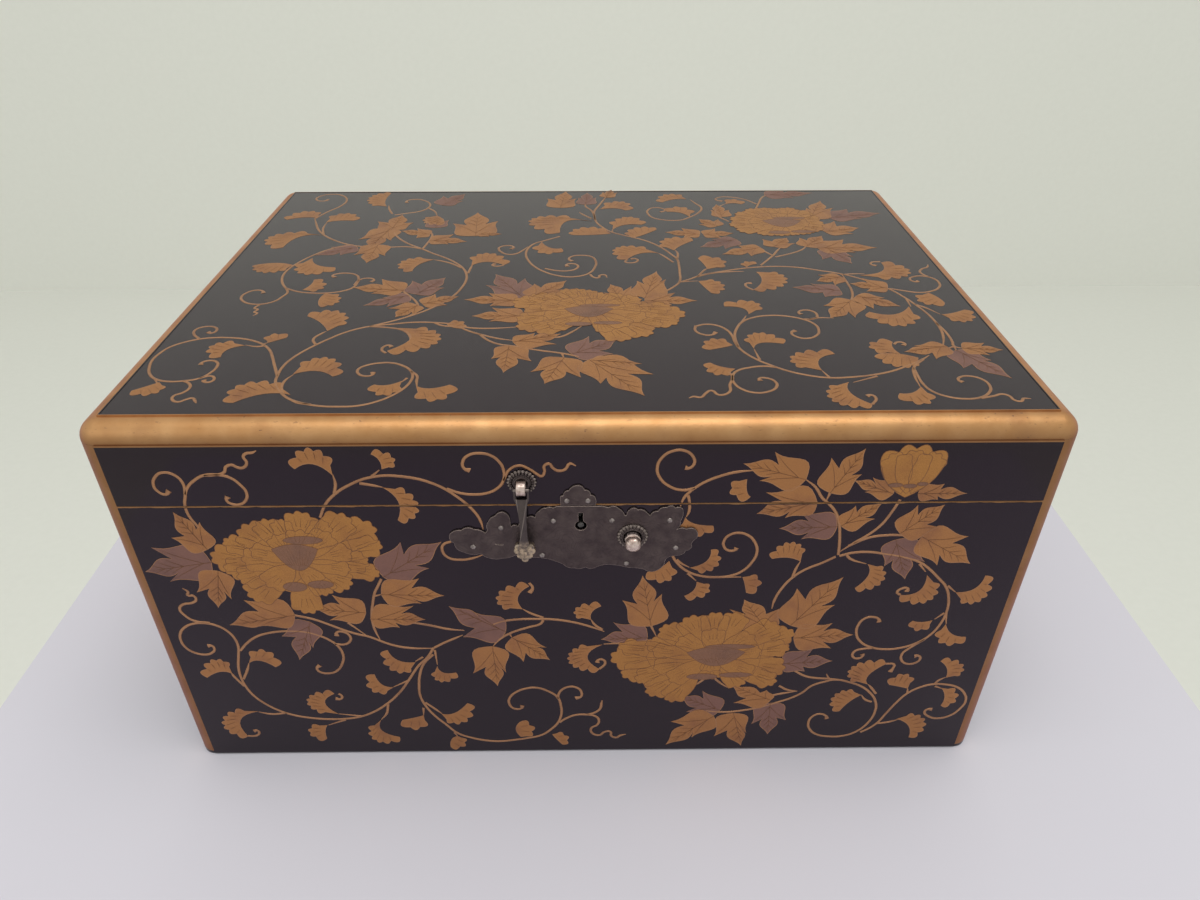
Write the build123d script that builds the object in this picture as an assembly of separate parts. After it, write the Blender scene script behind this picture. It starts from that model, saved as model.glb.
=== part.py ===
from build123d import *
import math
import os

# Driving dimensions of the lacquered document box, in millimetres.
width = 400.0  # over the left and right boards
depth = 296.0  # over the front and back boards
body_height = 161.4  # from the table up to the parting of body and lid
lid_height = 39.3  # from the parting up to the raised field of the lid
board = 10.0  # thickness of the four body boards
bottom_board = 8.0  # thickness of the bottom
bottom_seat = 4.0  # width of the rebate that holds the bottom
band = 8.9  # width of the gilt moulding on every edge
quirk = 0.7  # step on both sides of the moulding's quarter round
bottom_arris = 1.5  # rounding of the lowest edge
parting_arris = 0.6  # gilt bevel along the parting, on body and lid
field_rim = 0.8  # narrow flat left round the fields of the top and the sides
field_sink = 0.2  # depth of those fields, for the raised gold pattern

# The inner lip that the lid closes over.
lip = 3.0
lip_above = 6.0
lip_below = 12.0
lip_clearance = 0.5
lip_lead = 1.0

# The two hinges on the back.
hinge_spacing = 230.0
hinge_width = 26.0
leaf_length = 25.5
leaf = 0.9
barrel_radius = 2.2
pin_radius = 0.9
pin_play = 0.05
knuckle_gap = 0.15
barrel_relief = 0.35  # from the leaves' necks to the wood that turns past them
bevel_lead = 0.4
stop_angle = 100.0

# Hand-made nails with square shanks: hammered heads, and flat heads let in flush at the parting.
nail_head = 1.2
nail_crown = 0.65
nail_facets = 8
nail_shank = 0.9
nail_point_wood = 0.2  # wood left between a plate nail's point and the lock
flush_head = 1.1
flush_depth = 0.5
flush_length = 5.0

# The lock plate and the keyhole in it.
plate = 0.8
plate_gap = 0.25  # from the plates to the parting
key_x = -0.7
key_drop = 10.5  # from the parting down to the keyhole's round end
key_round = 2.5
key_slot = 2.0
key_slot_top = 6.8  # above the centre of the round end
key_pin_radius = 1.3
key_pin_proud = 0.3

# The push button and the chrysanthemum washers.
button_from_key = (21.8, -5.9)
button_travel = 3.0
bud_radius = 3.7
bud_length = 4.4
bud_tiers = ((0.97, 0.14), (1.0, 0.4), (0.93, 0.66), (0.7, 0.88), (0.3, 1.0))  # reach, rise
bud_facets = 16
neck_radius = 3.3
neck_length = 4.2
neck_play = 0.3
bud_play = 0.25
button_shank = 4.0
button_end_gap = 0.6
washer_dome = 1.8
washer_tiers = ((1.0, 0.0), (1.0, 0.4), (0.76, 1.3), (0.42, washer_dome))  # reach, height
washer_valley = 0.88  # reach of the flutes between petals
washer_petals = 20
button_washer_radius = 6.8
pull_washer_radius = 6.3

# The lock in the front board.
lock_front_wood = 3.0
case_wall = 1.0
case_left_of_key = 13.3
case_right_of_button = 13.0
case_ear = 4.0
bolt_play = 0.2
bolt_height = 3.2
bolt_leg = 6.0
wedge_gap = 0.1

# The catch under the lid that the bolt goes through.
catch_x = -1.6
catch_drop = 8.8
catch_wire = 1.1
catch_width = 2.0
catch_play = 0.5
catch_plate = 1.2
catch_plate_length = 18.0
eye_play = 0.4

# The pull that hangs from an eye on the lid.
pull_x = -24.4
eye_rise = 12.0  # from the parting up to the eye
eye_stand = 4.7  # from the lid's face out to the eye's centre
eye_outer = 3.0
eye_inner = 2.0
eye_strip = 3.7
eye_shank = 2.0
clench = 1.0
clench_length = 16.0
pull_bar = 0.9  # radius of the bar in the eye
pull_bar_play = 0.08
pull_side = 0.85
pull_side_play = 0.45
pull_loop = 4.0  # from the bar down to the foot of the loop's hole
pull_loop_corner = 0.7
pull_length = 37.2
pull_tip = 1.9  # height of the arc at its foot

# Places worked out from the sizes above.
front = -depth / 2
top = body_height + lid_height
rail_top = top - band
round_radius = band - quirk
lid_board = board - lip_clearance
hinge_y = depth / 2 - (barrel_radius - leaf)
stop_slope = math.tan(math.radians(stop_angle / 2))
leaf_start = barrel_radius * stop_slope
neck_reach = math.hypot(barrel_radius, leaf_start)
nail_length = plate + lock_front_wood - nail_point_wood
key_z = body_height - key_drop
button_x = key_x + button_from_key[0]
button_z = key_z + button_from_key[1]
mortise_front = front + lock_front_wood
mortise_back = front + board
case_back = mortise_back - case_wall
eye_y = front - eye_stand
eye_z = body_height + eye_rise
front_face = Plane(origin=(0, front, 0), x_dir=(1, 0, 0), z_dir=(0, -1, 0))
back_face = Plane(origin=(0, depth / 2, body_height), x_dir=(-1, 0, 0), z_dir=(0, 1, 0))

# Rows of the lock plate's edge, from the keyhole's centre: a cusp, then the crown of the arc to the next cusp.
# A row with no crown is joined to the next by a straight cut.
lock_plate_edge = [
    (-55.3, -4.2, -52.8, -2.4),
    (-50.3, -2.2, -47.8, -0.8),
    (-44.8, -1.8, -42.8, -2.0),
    (-40.3, -3.8),
    (-39.3, -2.2, -39.5, 0.3),
    (-38.6, 2.2, -37.3, 4.4),
    (-35.6, 5.4, -34.1, 7.0),
    (-32.3, 7.5, -30.3, 6.0),
    (-29.5, 3.3, -29.35, 1.5),
    (-29.3, -0.4, -27.8, 0.5),
    (-26.3, -0.2, -24.5, 3.0),
    (-21.8, 4.8, -20.3, 5.1),
    (-18.9, 4.2, -18.6, 6.3),
    (-17.1, 7.8, -15.9, 9.1),
    (-14.3, 9.3, -12.9, 9.9),
    (-11.3, 9.4, -10.2, 10.1),
    (-8.6, 10.25),
    (8.7, 10.25, 10.2, 9.9),
    (11.7, 9.4, 13.7, 10.2),
    (15.7, 8.9, 17.2, 7.6),
    (18.3, 5.2),
    (19.1, 5.2, 19.6, 7.4),
    (20.9, 8.7, 22.4, 9.1),
    (23.7, 8.1, 25.8, 8.1),
    (27.5, 6.7),
    (29.0, 5.0, 30.2, 6.9),
    (32.1, 7.3, 33.6, 9.1),
    (35.7, 9.2, 37.6, 10.2),
    (39.2, 9.0, 40.8, 9.4),
    (42.4, 8.5, 42.6, 5.0),
    (41.7, 1.8, 41.7, -0.2),
    (40.7, -2.0),
    (40.2, -2.8, 42.2, -1.7),
    (44.5, -2.3, 46.8, -1.8),
    (48.7, -3.2, 49.5, -5.8),
    (48.1, -8.4, 47.2, -9.9),
    (47.3, -11.8, 46.4, -13.5),
    (44.7, -14.2, 43.7, -16.1),
    (41.7, -16.8, 40.0, -17.1),
    (38.3, -17.5, 36.7, -18.8),
    (36.1, -21.2, 34.4, -24.2),
    (31.7, -26.0, 29.2, -26.0),
    (27.2, -24.8, 23.7, -23.9),
    (20.2, -23.6, 16.4, -22.5),
    (12.7, -21.8, 9.2, -22.1),
    (6.2, -23.4, 4.0, -24.1),
    (1.7, -23.2, -0.8, -24.1),
    (-3.3, -23.7, -6.0, -23.2),
    (-7.8, -21.6, -11.2, -19.6),
    (-15.3, -18.2, -18.9, -17.5),
    (-22.3, -17.6, -25.2, -16.6),
    (-28.3, -16.2, -30.9, -17.4),
    (-33.8, -17.9, -37.8, -18.2),
    (-41.7, -16.6, -43.1, -15.4),
    (-44.8, -15.6, -47.8, -15.4),
    (-50.3, -14.2, -53.1, -12.2),
    (-53.9, -9.2, -55.6, -6.8),
]
lock_plate_nail_places = [
    (-46.0, -11.2),
    (-33.5, -0.9),
    (-11.5, 2.6),
    (13.0, 2.6),
    (37.2, 2.5),
    (40.4, -12.5),
    (-16.8, -16.2),
    (19.4, -21.2),
]
lock_plate_slit = (-34.8, -9.9)  # a short pierced cut between two lobes
slit_size = (3.4, 0.5)

# The strike plate's edge above the parting, from the middle of its foot.
strike_edge = [
    (-7.4, plate_gap),
    (-7.4, 3.8, -7.1, 4.9),
    (-6.0, 5.1, -5.4, 7.2),
    (-3.8, 7.8, -2.3, 9.7),
    (-0.2, 10.4, 1.8, 9.7),
    (2.6, 8.0, 4.4, 7.5),
    (5.0, 5.5, 6.5, 4.9),
    (7.2, 3.4, 7.4, 2.0),
    (6.8, plate_gap),
]
strike_nail_places = [(-4.7, 2.6), (4.0, 2.6)]

# A hinge leaf's lobed end and its nails, as parts of half its width and of its length.
leaf_lobe_fractions = [
    (1.0, 0.47, 0.93, 0.575),
    (0.785, 0.65, 0.76, 0.775),
    (0.51, 0.8, 0.0, 1.0),
]
leaf_nail_fractions = [(-0.69, 0.28), (0.69, 0.28), (-0.46, 0.57), (0.46, 0.57), (0.0, 0.8)]

# Right half of the pull, from the bar in the eye downwards.
pull_edge = [
    (2.5, -5.6, 1.55, -13.5),
    (1.5, -18.5, 1.55, -23.5),
    (2.1, -27.6, 3.6, -27.9),
    (3.9, -29.8, 4.5, -31.4),
    (3.1, -32.9, 3.0, -34.7),
    (1.4, pull_tip - pull_length, 0, -pull_length),
]


def block(low, high):
    """A rectangular solid between two opposite corners."""
    size = [b - a for a, b in zip(low, high)]
    return Pos(*low) * Box(*size, align=(Align.MIN, Align.MIN, Align.MIN))


def lobed_face(rows):
    """A flat face whose edge is cut in arcs from cusp to cusp."""
    edges = []
    for row, following in zip(rows, rows[1:] + rows[:1]):
        if len(row) == 4:
            edges.append(ThreePointArc(row[:2], row[2:], following[:2]))
        else:
            edges.append(Line(row[:2], following[:2]))
    return make_face(edges)


def mirrored(rows):
    """The rows of a symmetric edge from those of its right half, whose last arc crosses the middle."""
    left = []
    for upper, lower in reversed(list(zip(rows, rows[1:]))):
        crown = (-upper[2], upper[3]) if len(upper) == 4 else ()
        left.append((-lower[0], lower[1]) + crown)
    left.append((-rows[0][0], rows[0][1]))
    return rows + left


def star(points, tip, valley, height):
    """The corners of a level star, or of a regular polygon where tip and valley are equal."""
    corners = []
    for step in range(points):
        reach = valley if step % 2 else tip
        angle = 2 * math.pi * step / points
        corners.append((reach * math.cos(angle), reach * math.sin(angle), height))
    return corners


def faceted(rings):
    """A solid with a flat face between each corner and the next, through rings of as many corners."""
    outlines = [rings[0], rings[-1]]
    for lower, upper in zip(rings, rings[1:]):
        for i in range(len(lower)):
            outlines.append((lower[i - 1], lower[i], upper[i], upper[i - 1]))
    return Solid(Shell([make_face(Polyline(*outline, close=True)) for outline in outlines]))


def tiers(sides, steps):
    """A solid that rises in straight facets through regular polygons, given as radius and height."""
    return faceted([star(sides, radius, radius, height) for radius, height in steps])


def shank(length):
    """The square shank of a nail, driven down from the plane Z = 0."""
    return Box(nail_shank, nail_shank, length, align=(Align.CENTER, Align.CENTER, Align.MAX))


def domed_nail():
    """A nail whose hammered head sits on the plane Z = 0."""
    steps = ((nail_head, 0), (0.84 * nail_head, 0.6 * nail_crown), (0.4 * nail_head, nail_crown))
    return tiers(nail_facets, steps) + shank(nail_length)


def flush_nail():
    """A nail whose flat head lies flush with the plane Z = 0."""
    steps = ((flush_head, -flush_depth), (flush_head, 0))
    return tiers(nail_facets, steps) + shank(flush_length)


def moulded_plan():
    """Plan of the box: each corner steps in by the quirk and turns in a quarter round."""
    plan = Rectangle(width, depth)
    for x in (-1, 1):
        for y in (-1, 1):
            plan -= Pos(x * (width - band) / 2, y * (depth - band) / 2) * Rectangle(band, band)
    for x in (-1, 1):
        for y in (-1, 1):
            plan += Pos(x * (width / 2 - band), y * (depth / 2 - band)) * Circle(round_radius)
    return plan


def side_fields(low, high):
    """The shallow beds of the left and right fields, between two heights."""
    reach = depth / 2 - band - field_rim
    beds = []
    for way in (-1, 1):
        bed = Pos(way * (width - field_sink) / 2, 0, (low + high) / 2)
        beds.append(bed * Box(field_sink, 2 * reach, high - low))
    return beds


def back_bevel(way):
    """The wedge cut from the back arris, below (-1) or above (1) the parting, so that the lid can turn."""
    reach = barrel_radius + bevel_lead
    outline = Polyline(
        (0, hinge_y - bevel_lead, body_height),
        (0, hinge_y + reach, body_height),
        (0, hinge_y + reach, body_height + way * (reach + bevel_lead) * stop_slope),
        close=True,
    )
    return extrude(make_face(outline), width / 2, both=True, dir=(1, 0, 0))


def along_x(radius, length, y, z, x=0.0):
    """A cylinder that lies along X."""
    return Pos(x, y, z) * Rot(0, 90, 0) * Cylinder(radius, length)


def mitred(ring):
    """A ring of boards cut along its mitres into front, back, left and right."""
    x, y, reach = width / 2, depth / 2, 2 * board
    quarters = {
        "front": [(-x, -y), (x, -y), (x - reach, reach - y), (reach - x, reach - y)],
        "back": [(-x, y), (reach - x, y - reach), (x - reach, y - reach), (x, y)],
        "left": [(-x, -y), (reach - x, reach - y), (reach - x, y - reach), (-x, y)],
        "right": [(x, -y), (x, y), (x - reach, y - reach), (x - reach, reach - y)],
    }
    boards = {}
    for side, corners in quarters.items():
        quarter = extrude(make_face(Polyline(*corners, close=True)), top)
        boards[side] = ring & quarter
    return boards


def knuckles(owner):
    """The X ranges of the barrel's knuckles: the outer two on the body leaf, the middle one on the lid leaf."""
    third = hinge_width / 3
    if owner == "lid":
        return [(knuckle_gap - third / 2, third / 2 - knuckle_gap)]
    return [(-hinge_width / 2, -third / 2), (third / 2, hinge_width / 2)]


def hinge_leaf(x, owner):
    """One leaf of a hinge, wrapped round the pin at its knuckles and cut to a cusped end."""
    way = 1 if owner == "lid" else -1
    half = hinge_width / 2
    edge = [(half, leaf_start)]
    for u, v, crown_u, crown_v in leaf_lobe_fractions:
        edge.append((half * u, leaf_length * v, half * crown_u, leaf_length * crown_v))
    sheet = extrude(lobed_face(mirrored(edge)), leaf)
    if owner == "body":
        sheet = Rot(0, 0, 180) * sheet
    solid = back_face * Pos(-x, 0, 0) * sheet
    bore = pin_radius + (pin_play if owner == "lid" else 0)
    for start, stop in knuckles(owner):
        middle = x + (start + stop) / 2
        neck_low = (x + start, depth / 2, min(body_height, body_height + way * leaf_start))
        neck_high = (x + stop, depth / 2 + leaf, max(body_height, body_height + way * leaf_start))
        solid += block(neck_low, neck_high)
        solid += along_x(barrel_radius, stop - start, hinge_y, body_height, middle)
    solid -= along_x(bore, hinge_width + 2, hinge_y, body_height, x)
    return solid


def leaf_nails(x, owner):
    """The nails of one leaf, from its outer face into the board."""
    way = 1 if owner == "lid" else -1
    nails = []
    for u, v in leaf_nail_fractions:
        spot = Pos(u * hinge_width / 2 - x, way * v * leaf_length, leaf)
        nails.append(back_face * spot * domed_nail())
    return nails


def flower_washer(radius, hole):
    """A washer pressed as a chrysanthemum: fluted tiers rise from its rim to the seat in the middle."""
    rings = []
    for reach, height in washer_tiers:
        rings.append(star(2 * washer_petals, radius * reach, radius * reach * washer_valley, height))
    return faceted(rings) - hole


# The body: four mitred boards and a bottom held in their rebate.
envelope = block((-width / 2, front, 0), (width / 2, -front, body_height))
envelope = fillet(envelope.edges().group_by(Axis.Z)[0], bottom_arris)
envelope = chamfer(envelope.faces().sort_by(Axis.Z)[-1].edges(), parting_arris)
inside = Rectangle(width - 2 * board, depth - 2 * board)
shell = extrude(moulded_plan() - inside, body_height) & envelope
bottom_reach = board - bottom_seat
body_bottom = block(
    (bottom_reach - width / 2, bottom_reach + front, 0),
    (width / 2 - bottom_reach, -front - bottom_reach, bottom_board),
)
shell -= body_bottom
shell -= back_bevel(-1)
shell -= side_fields(bottom_arris + field_rim, body_height - parting_arris - field_rim)

# The lid: four mitred rails under a top board that carries the moulding.
lid_envelope = block((-width / 2, front, body_height), (width / 2, -front, top))
lid_envelope = chamfer(lid_envelope.faces().sort_by(Axis.Z)[0].edges(), parting_arris)
lid_inside = Rectangle(width - 2 * lid_board, depth - 2 * lid_board)
rails = extrude(moulded_plan() - lid_inside, rail_top - body_height)
rails = (Pos(0, 0, body_height) * rails) & lid_envelope
rails -= back_bevel(1)
rails -= side_fields(body_height + parting_arris + field_rim, rail_top - field_rim)

top_slab = block(
    (quirk - width / 2, quirk + front, rail_top - band),
    (width / 2 - quirk, -front - quirk, top - quirk),
)
moulded_edges = top_slab.edges().filter_by(Axis.Z) + top_slab.edges().group_by(Axis.Z)[-1]
top_slab = fillet(moulded_edges, round_radius)
top_slab -= block((-width, -depth, 0), (width, depth, rail_top))
field = block((band - width / 2, band + front, rail_top), (width / 2 - band, -front - band, top))
field_inset = band + field_rim
field -= block(
    (field_inset - width / 2, field_inset + front, top - field_sink),
    (width / 2 - field_inset, -front - field_inset, top),
)
lid_top = top_slab + field

# The lip inside the body, with its upper edge eased so that the lid finds its place.
lip_ring = Rectangle(width - 2 * board, depth - 2 * board) - Rectangle(
    width - 2 * (board + lip), depth - 2 * (board + lip)
)
lip_ring = Pos(0, 0, body_height - lip_below) * extrude(lip_ring, lip_below + lip_above)
lip_crest = lip_ring.faces().sort_by(Axis.Z)[-1].outer_wire().edges()
lip_ring = chamfer(lip_crest, lip_lead)

# The hinges: leaves, pins and nails, and the wood cut away round each barrel.
hinge_places = {"left": -hinge_spacing / 2, "right": hinge_spacing / 2}
parts = {}
body_nails = []
lid_nails = []
for side, x in hinge_places.items():
    relief = along_x(
        neck_reach + barrel_relief, hinge_width + 2 * barrel_relief, hinge_y, body_height, x
    )
    shell -= relief
    rails -= relief
    nails_down = leaf_nails(x, "body")
    nails_up = leaf_nails(x, "lid")
    shell -= nails_down
    rails -= nails_up
    parts[f"hinge_{side}_body_leaf"] = hinge_leaf(x, "body") - nails_down
    parts[f"hinge_{side}_lid_leaf"] = hinge_leaf(x, "lid") - nails_up
    parts[f"hinge_{side}_pin"] = along_x(pin_radius, hinge_width, hinge_y, body_height, x)
    body_nails += nails_down
    lid_nails += nails_up
parts["hinge_body_nails"] = Compound(body_nails)
parts["hinge_lid_nails"] = Compound(lid_nails)

# The lock plate with its keyhole, the nails that hold it and the washer round the button.
key_origin = front_face * Pos(key_x, key_z, 0)
keyhole = Circle(key_round) + Pos(0, key_slot_top / 2) * Rectangle(key_slot, key_slot_top)
slit = Pos(*lock_plate_slit) * Rot(0, 0, -8) * Rectangle(*slit_size)
button_bore = Pos(*button_from_key) * Circle(neck_radius + neck_play)
plate_nails = [key_origin * Pos(u, v, plate) * domed_nail() for u, v in lock_plate_nail_places]
lock_plate = extrude(key_origin * (lobed_face(lock_plate_edge) - keyhole - slit - button_bore), plate)
parts["lock_plate"] = lock_plate - plate_nails
parts["lock_plate_nails"] = Compound(plate_nails)
button_seat = front_face * Pos(button_x, button_z, plate)
button_hole = Pos(0, 0, washer_dome / 2) * Cylinder(bud_radius + bud_play, 2 * washer_dome)
parts["button_washer"] = button_seat * flower_washer(button_washer_radius, button_hole)

# The catch: a plate let into the lid's front rail and a loop that hangs into the lock.
catch_front = mortise_front + catch_play
catch_back = case_back - catch_play
catch_foot = body_height - catch_drop
catch_left = catch_x - catch_width / 2
catch_right = catch_x + catch_width / 2
lid_catch = block((catch_left, catch_front, catch_foot), (catch_right, catch_back, body_height))
lid_catch -= block(
    (catch_left, catch_front + catch_wire, catch_foot + catch_wire),
    (catch_right, catch_back - catch_wire, body_height),
)
catch_bed = block(
    (catch_x - catch_plate_length / 2, catch_front, body_height),
    (catch_x + catch_plate_length / 2, catch_back, body_height + catch_plate),
)
catch_middle = (catch_front + catch_back) / 2
catch_nails = []
for way in (-1, 1):
    spot = Pos(catch_x + way * catch_plate_length / 3, catch_middle, body_height)
    catch_nails.append(spot * Rot(180, 0, 0) * flush_nail())
parts["lid_catch"] = lid_catch + catch_bed - catch_nails
parts["lid_catch_nails"] = Compound(catch_nails)

# The bolt: a nose that slides through the catch and a leg with a sloping face for the button.
nose_low = catch_foot + catch_wire + eye_play
nose_high = nose_low + bolt_height
nose_front = catch_front + catch_wire + eye_play
nose_back = catch_back - catch_wire - eye_play
nose_tip = catch_right + (button_travel - catch_width) / 2
button_tip = case_back - button_end_gap - button_travel
leg_foot = button_z - button_shank / 2 - bolt_play
leg_front = mortise_front + bolt_play
slope = button_x + button_shank / 2 - button_tip - wedge_gap * math.sqrt(2)
leg_left = slope + leg_front - bolt_leg
leg_outline = Polyline(
    (leg_left, leg_front),
    (slope + leg_front, leg_front),
    (slope + nose_back, nose_back),
    (leg_left, nose_back),
    close=True,
)
bolt_leg_solid = Pos(0, 0, leg_foot) * extrude(make_face(leg_outline), nose_high - leg_foot)
bolt_nose = block((nose_tip, nose_front, nose_low), (leg_left, nose_back, nose_high))
parts["lock_bolt"] = bolt_leg_solid + bolt_nose

# The lock's case: a tray let into the front board from inside, with the shelves that guide the bolt.
case_left = key_x - case_left_of_key
case_right = button_x + case_right_of_button
case_floor = leg_foot - bolt_play
mortise_foot = case_floor - case_wall
mortise = block((case_left, mortise_front, mortise_foot), (case_right, mortise_back, body_height))
ears = block(
    (case_left - case_ear, mortise_front, body_height - case_wall),
    (case_right + case_ear, mortise_back, body_height),
)
lock_case = mortise - block(
    (case_left + case_wall, mortise_front, case_floor),
    (case_right - case_wall, case_back, body_height - case_wall),
)
lock_case += ears
lock_case -= block(
    (catch_left - catch_play, mortise_front, body_height - case_wall),
    (catch_right + catch_play, case_back, body_height),
)
shelf_right = slope + nose_back - button_travel
upper_shelf = block(
    (nose_tip + button_travel + case_wall, nose_front, nose_high + bolt_play),
    (shelf_right, case_back, nose_high + bolt_play + case_wall),
)
lower_shelf = block(
    (nose_tip + button_travel + case_wall, nose_front, nose_low - bolt_play - case_wall),
    (leg_left - button_travel - case_wall, case_back, nose_low - bolt_play),
)
back_rib = block(
    (nose_tip + button_travel + case_wall, nose_back + bolt_play, nose_low - bolt_play),
    (leg_left - button_travel - case_wall, case_back, nose_high + bolt_play),
)
lock_case += [upper_shelf, lower_shelf, back_rib]
case_nails = []
for x in (case_left - case_ear / 2, case_right + case_ear / 2):
    case_nails.append(Pos(x, (mortise_front + mortise_back) / 2, body_height) * flush_nail())
key_pin_end = front - key_pin_proud
key_pin = Pos(key_x, (key_pin_end + mortise_back) / 2, key_z) * Rot(90, 0, 0)
key_pin *= Cylinder(key_pin_radius, mortise_back - key_pin_end)
parts["lock_case"] = lock_case - case_nails - key_pin
parts["lock_case_nails"] = Compound(case_nails)
parts["key_pin"] = key_pin

# The button: a bud on a round neck, with a square shank whose end pushes the bolt aside.
neck_end = lock_front_wood - button_travel
bud_start = neck_end + neck_length
bud_end = bud_start + bud_length
neck = Pos(0, 0, (bud_start - neck_end) / 2) * Cylinder(neck_radius, bud_start + neck_end)
bud_steps = [(neck_radius, bud_start)]
for reach, rise in bud_tiers:
    bud_steps.append((bud_radius * reach, bud_start + bud_length * rise))
bud = neck + tiers(bud_facets, bud_steps)
bud = front_face * Pos(button_x, button_z, 0) * bud
plunger_outline = Polyline(
    (button_x - button_shank / 2, front + neck_end),
    (button_x + button_shank / 2, front + neck_end),
    (button_x + button_shank / 2, button_tip),
    (button_x - button_shank / 2, button_tip - button_shank),
    close=True,
)
plunger = Pos(0, 0, button_z - button_shank / 2) * extrude(make_face(plunger_outline), button_shank)
parts["push_button"] = bud + plunger

# The strike plate on the lid.
strike_origin = front_face * Pos(catch_x, body_height, 0)
strike_nails = [strike_origin * Pos(u, v, plate) * domed_nail() for u, v in strike_nail_places]
parts["strike_plate"] = extrude(strike_origin * lobed_face(strike_edge), plate) - strike_nails
parts["strike_plate_nails"] = Compound(strike_nails)

# The eye on the lid: a strip bent to a ring, its ends put through the rail and clenched inside.
eye = along_x(eye_outer, eye_strip, eye_y, eye_z, pull_x)
eye_legs = block(
    (pull_x - eye_strip / 2, eye_y + eye_inner, eye_z - eye_shank / 2),
    (pull_x + eye_strip / 2, front + lid_board, eye_z + eye_shank / 2),
)
clenched = block(
    (pull_x - clench_length / 2, front + lid_board, eye_z - eye_shank / 2),
    (pull_x + clench_length / 2, front + lid_board + clench, eye_z + eye_shank / 2),
)
pull_staple = eye + eye_legs - along_x(eye_inner, eye_strip, eye_y, eye_z, pull_x)
parts["pull_staple"] = pull_staple + clenched
pull_seat = front_face * Pos(pull_x, eye_z, 0)
washer_slot = Box(eye_strip, eye_shank, 4 * washer_dome)
parts["pull_washer"] = pull_seat * flower_washer(pull_washer_radius, washer_slot)

# The pull: a loop on the eye, a waisted stem and a flower with five lobes.
pivot_z = eye_z - (eye_inner - pull_bar - pull_bar_play)
loop_half = eye_strip / 2 + pull_side_play
loop_outer = loop_half + pull_side
pull_rows = mirrored([(loop_outer, 0), (loop_outer, -pull_loop)] + pull_edge)
loop_hole = Pos(0, -pull_loop / 2) * Rectangle(2 * loop_half, pull_loop)
loop_hole = fillet(loop_hole.vertices().group_by(Axis.Y)[0], pull_loop_corner)
pull_origin = Plane(origin=(pull_x, eye_y, pivot_z), x_dir=(1, 0, 0), z_dir=(0, -1, 0))
lid_pull = extrude(pull_origin * (lobed_face(pull_rows) - loop_hole), pull_bar, both=True)
lid_pull += along_x(pull_bar, 2 * loop_outer, eye_y, pivot_z, pull_x)
parts["lid_pull"] = lid_pull

# The openings that the hardware needs in the boards.
key_cut = extrude(key_origin * keyhole, -lock_front_wood)
neck_cut = extrude(front_face * Pos(button_x, button_z) * Circle(neck_radius + neck_play), -lock_front_wood)
shell = shell - mortise - ears - case_nails - plate_nails - key_cut - neck_cut
rails = rails - catch_bed - catch_nails - strike_nails - eye_legs
parts["body_bottom"] = body_bottom
for side, solid in mitred(shell).items():
    parts[f"body_{side}"] = solid
for side, solid in mitred(lip_ring).items():
    parts[f"lip_{side}"] = solid
parts["lid_top"] = lid_top
for side, solid in mitred(rails).items():
    parts[f"lid_{side}"] = solid

os.makedirs("parts", exist_ok=True)
for name, solid in sorted(parts.items()):
    export_step(solid, f"parts/{name}.step")
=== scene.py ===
import math

import bpy
from mathutils import Matrix, Vector


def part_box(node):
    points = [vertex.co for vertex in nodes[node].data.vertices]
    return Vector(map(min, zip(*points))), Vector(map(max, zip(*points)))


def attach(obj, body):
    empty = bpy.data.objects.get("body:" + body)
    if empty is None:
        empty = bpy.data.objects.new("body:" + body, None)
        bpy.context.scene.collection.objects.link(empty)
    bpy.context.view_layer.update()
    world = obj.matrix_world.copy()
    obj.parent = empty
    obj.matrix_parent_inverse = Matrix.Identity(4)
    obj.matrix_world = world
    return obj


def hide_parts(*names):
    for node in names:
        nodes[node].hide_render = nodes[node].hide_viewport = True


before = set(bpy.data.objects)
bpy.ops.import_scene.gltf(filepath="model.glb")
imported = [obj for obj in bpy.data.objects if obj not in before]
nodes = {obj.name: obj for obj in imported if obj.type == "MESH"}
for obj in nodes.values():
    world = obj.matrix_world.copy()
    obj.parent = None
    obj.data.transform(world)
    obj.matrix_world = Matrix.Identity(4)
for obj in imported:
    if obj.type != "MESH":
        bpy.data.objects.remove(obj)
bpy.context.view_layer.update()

MM = 0.001


# The viewpoint: a hand-held picture from in front of the box and above it, aimed a little over the parting.
# Its place and lens are those that give the box the perspective of the photograph.
camera_data = bpy.data.cameras.new("viewpoint")
camera_data.sensor_width = 36.0
camera_data.lens = 25.876
camera_data.clip_start = 0.01
camera = bpy.data.objects.new("viewpoint", camera_data)
camera.location = (4.307 * MM, -429.727 * MM, 380.548 * MM)
camera.rotation_euler = (math.radians(90 - 34.26), 0.0, math.radians(-0.615))
bpy.context.scene.collection.objects.link(camera)
bpy.context.scene.camera = camera
bpy.context.scene.view_settings.view_transform = "Standard"


# The room: a plinth with a pale lavender top that the box stands on, in a pale room whose floor runs up into
# the wall. Both show softly in the polished lacquer. Painted board and plaster, lit by large soft lamps.
def pick(*things):
    """Selects these alone, or nothing, and makes the first the active one."""
    for each in bpy.context.selected_objects:
        each.select_set(False)
    for thing in things:
        thing.select_set(True)
    if things:
        bpy.context.view_layer.objects.active = things[0]


def add_node(tree, kind, inputs=None, **settings):
    """A shader node with its settings made and its sockets linked or set."""
    made = tree.nodes.new(kind)
    for name, value in settings.items():
        setattr(made, name, value)
    for socket, value in (inputs or {}).items():
        if isinstance(value, bpy.types.NodeSocket):
            tree.links.new(value, made.inputs[socket])
        else:
            made.inputs[socket].default_value = value
    return made


def math_node(tree, operation, first, second=0.0, third=0.0):
    """The result of one Math node."""
    made = add_node(tree, "ShaderNodeMath", {0: first, 1: second, 2: third}, operation=operation)
    return made.outputs[0]


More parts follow.
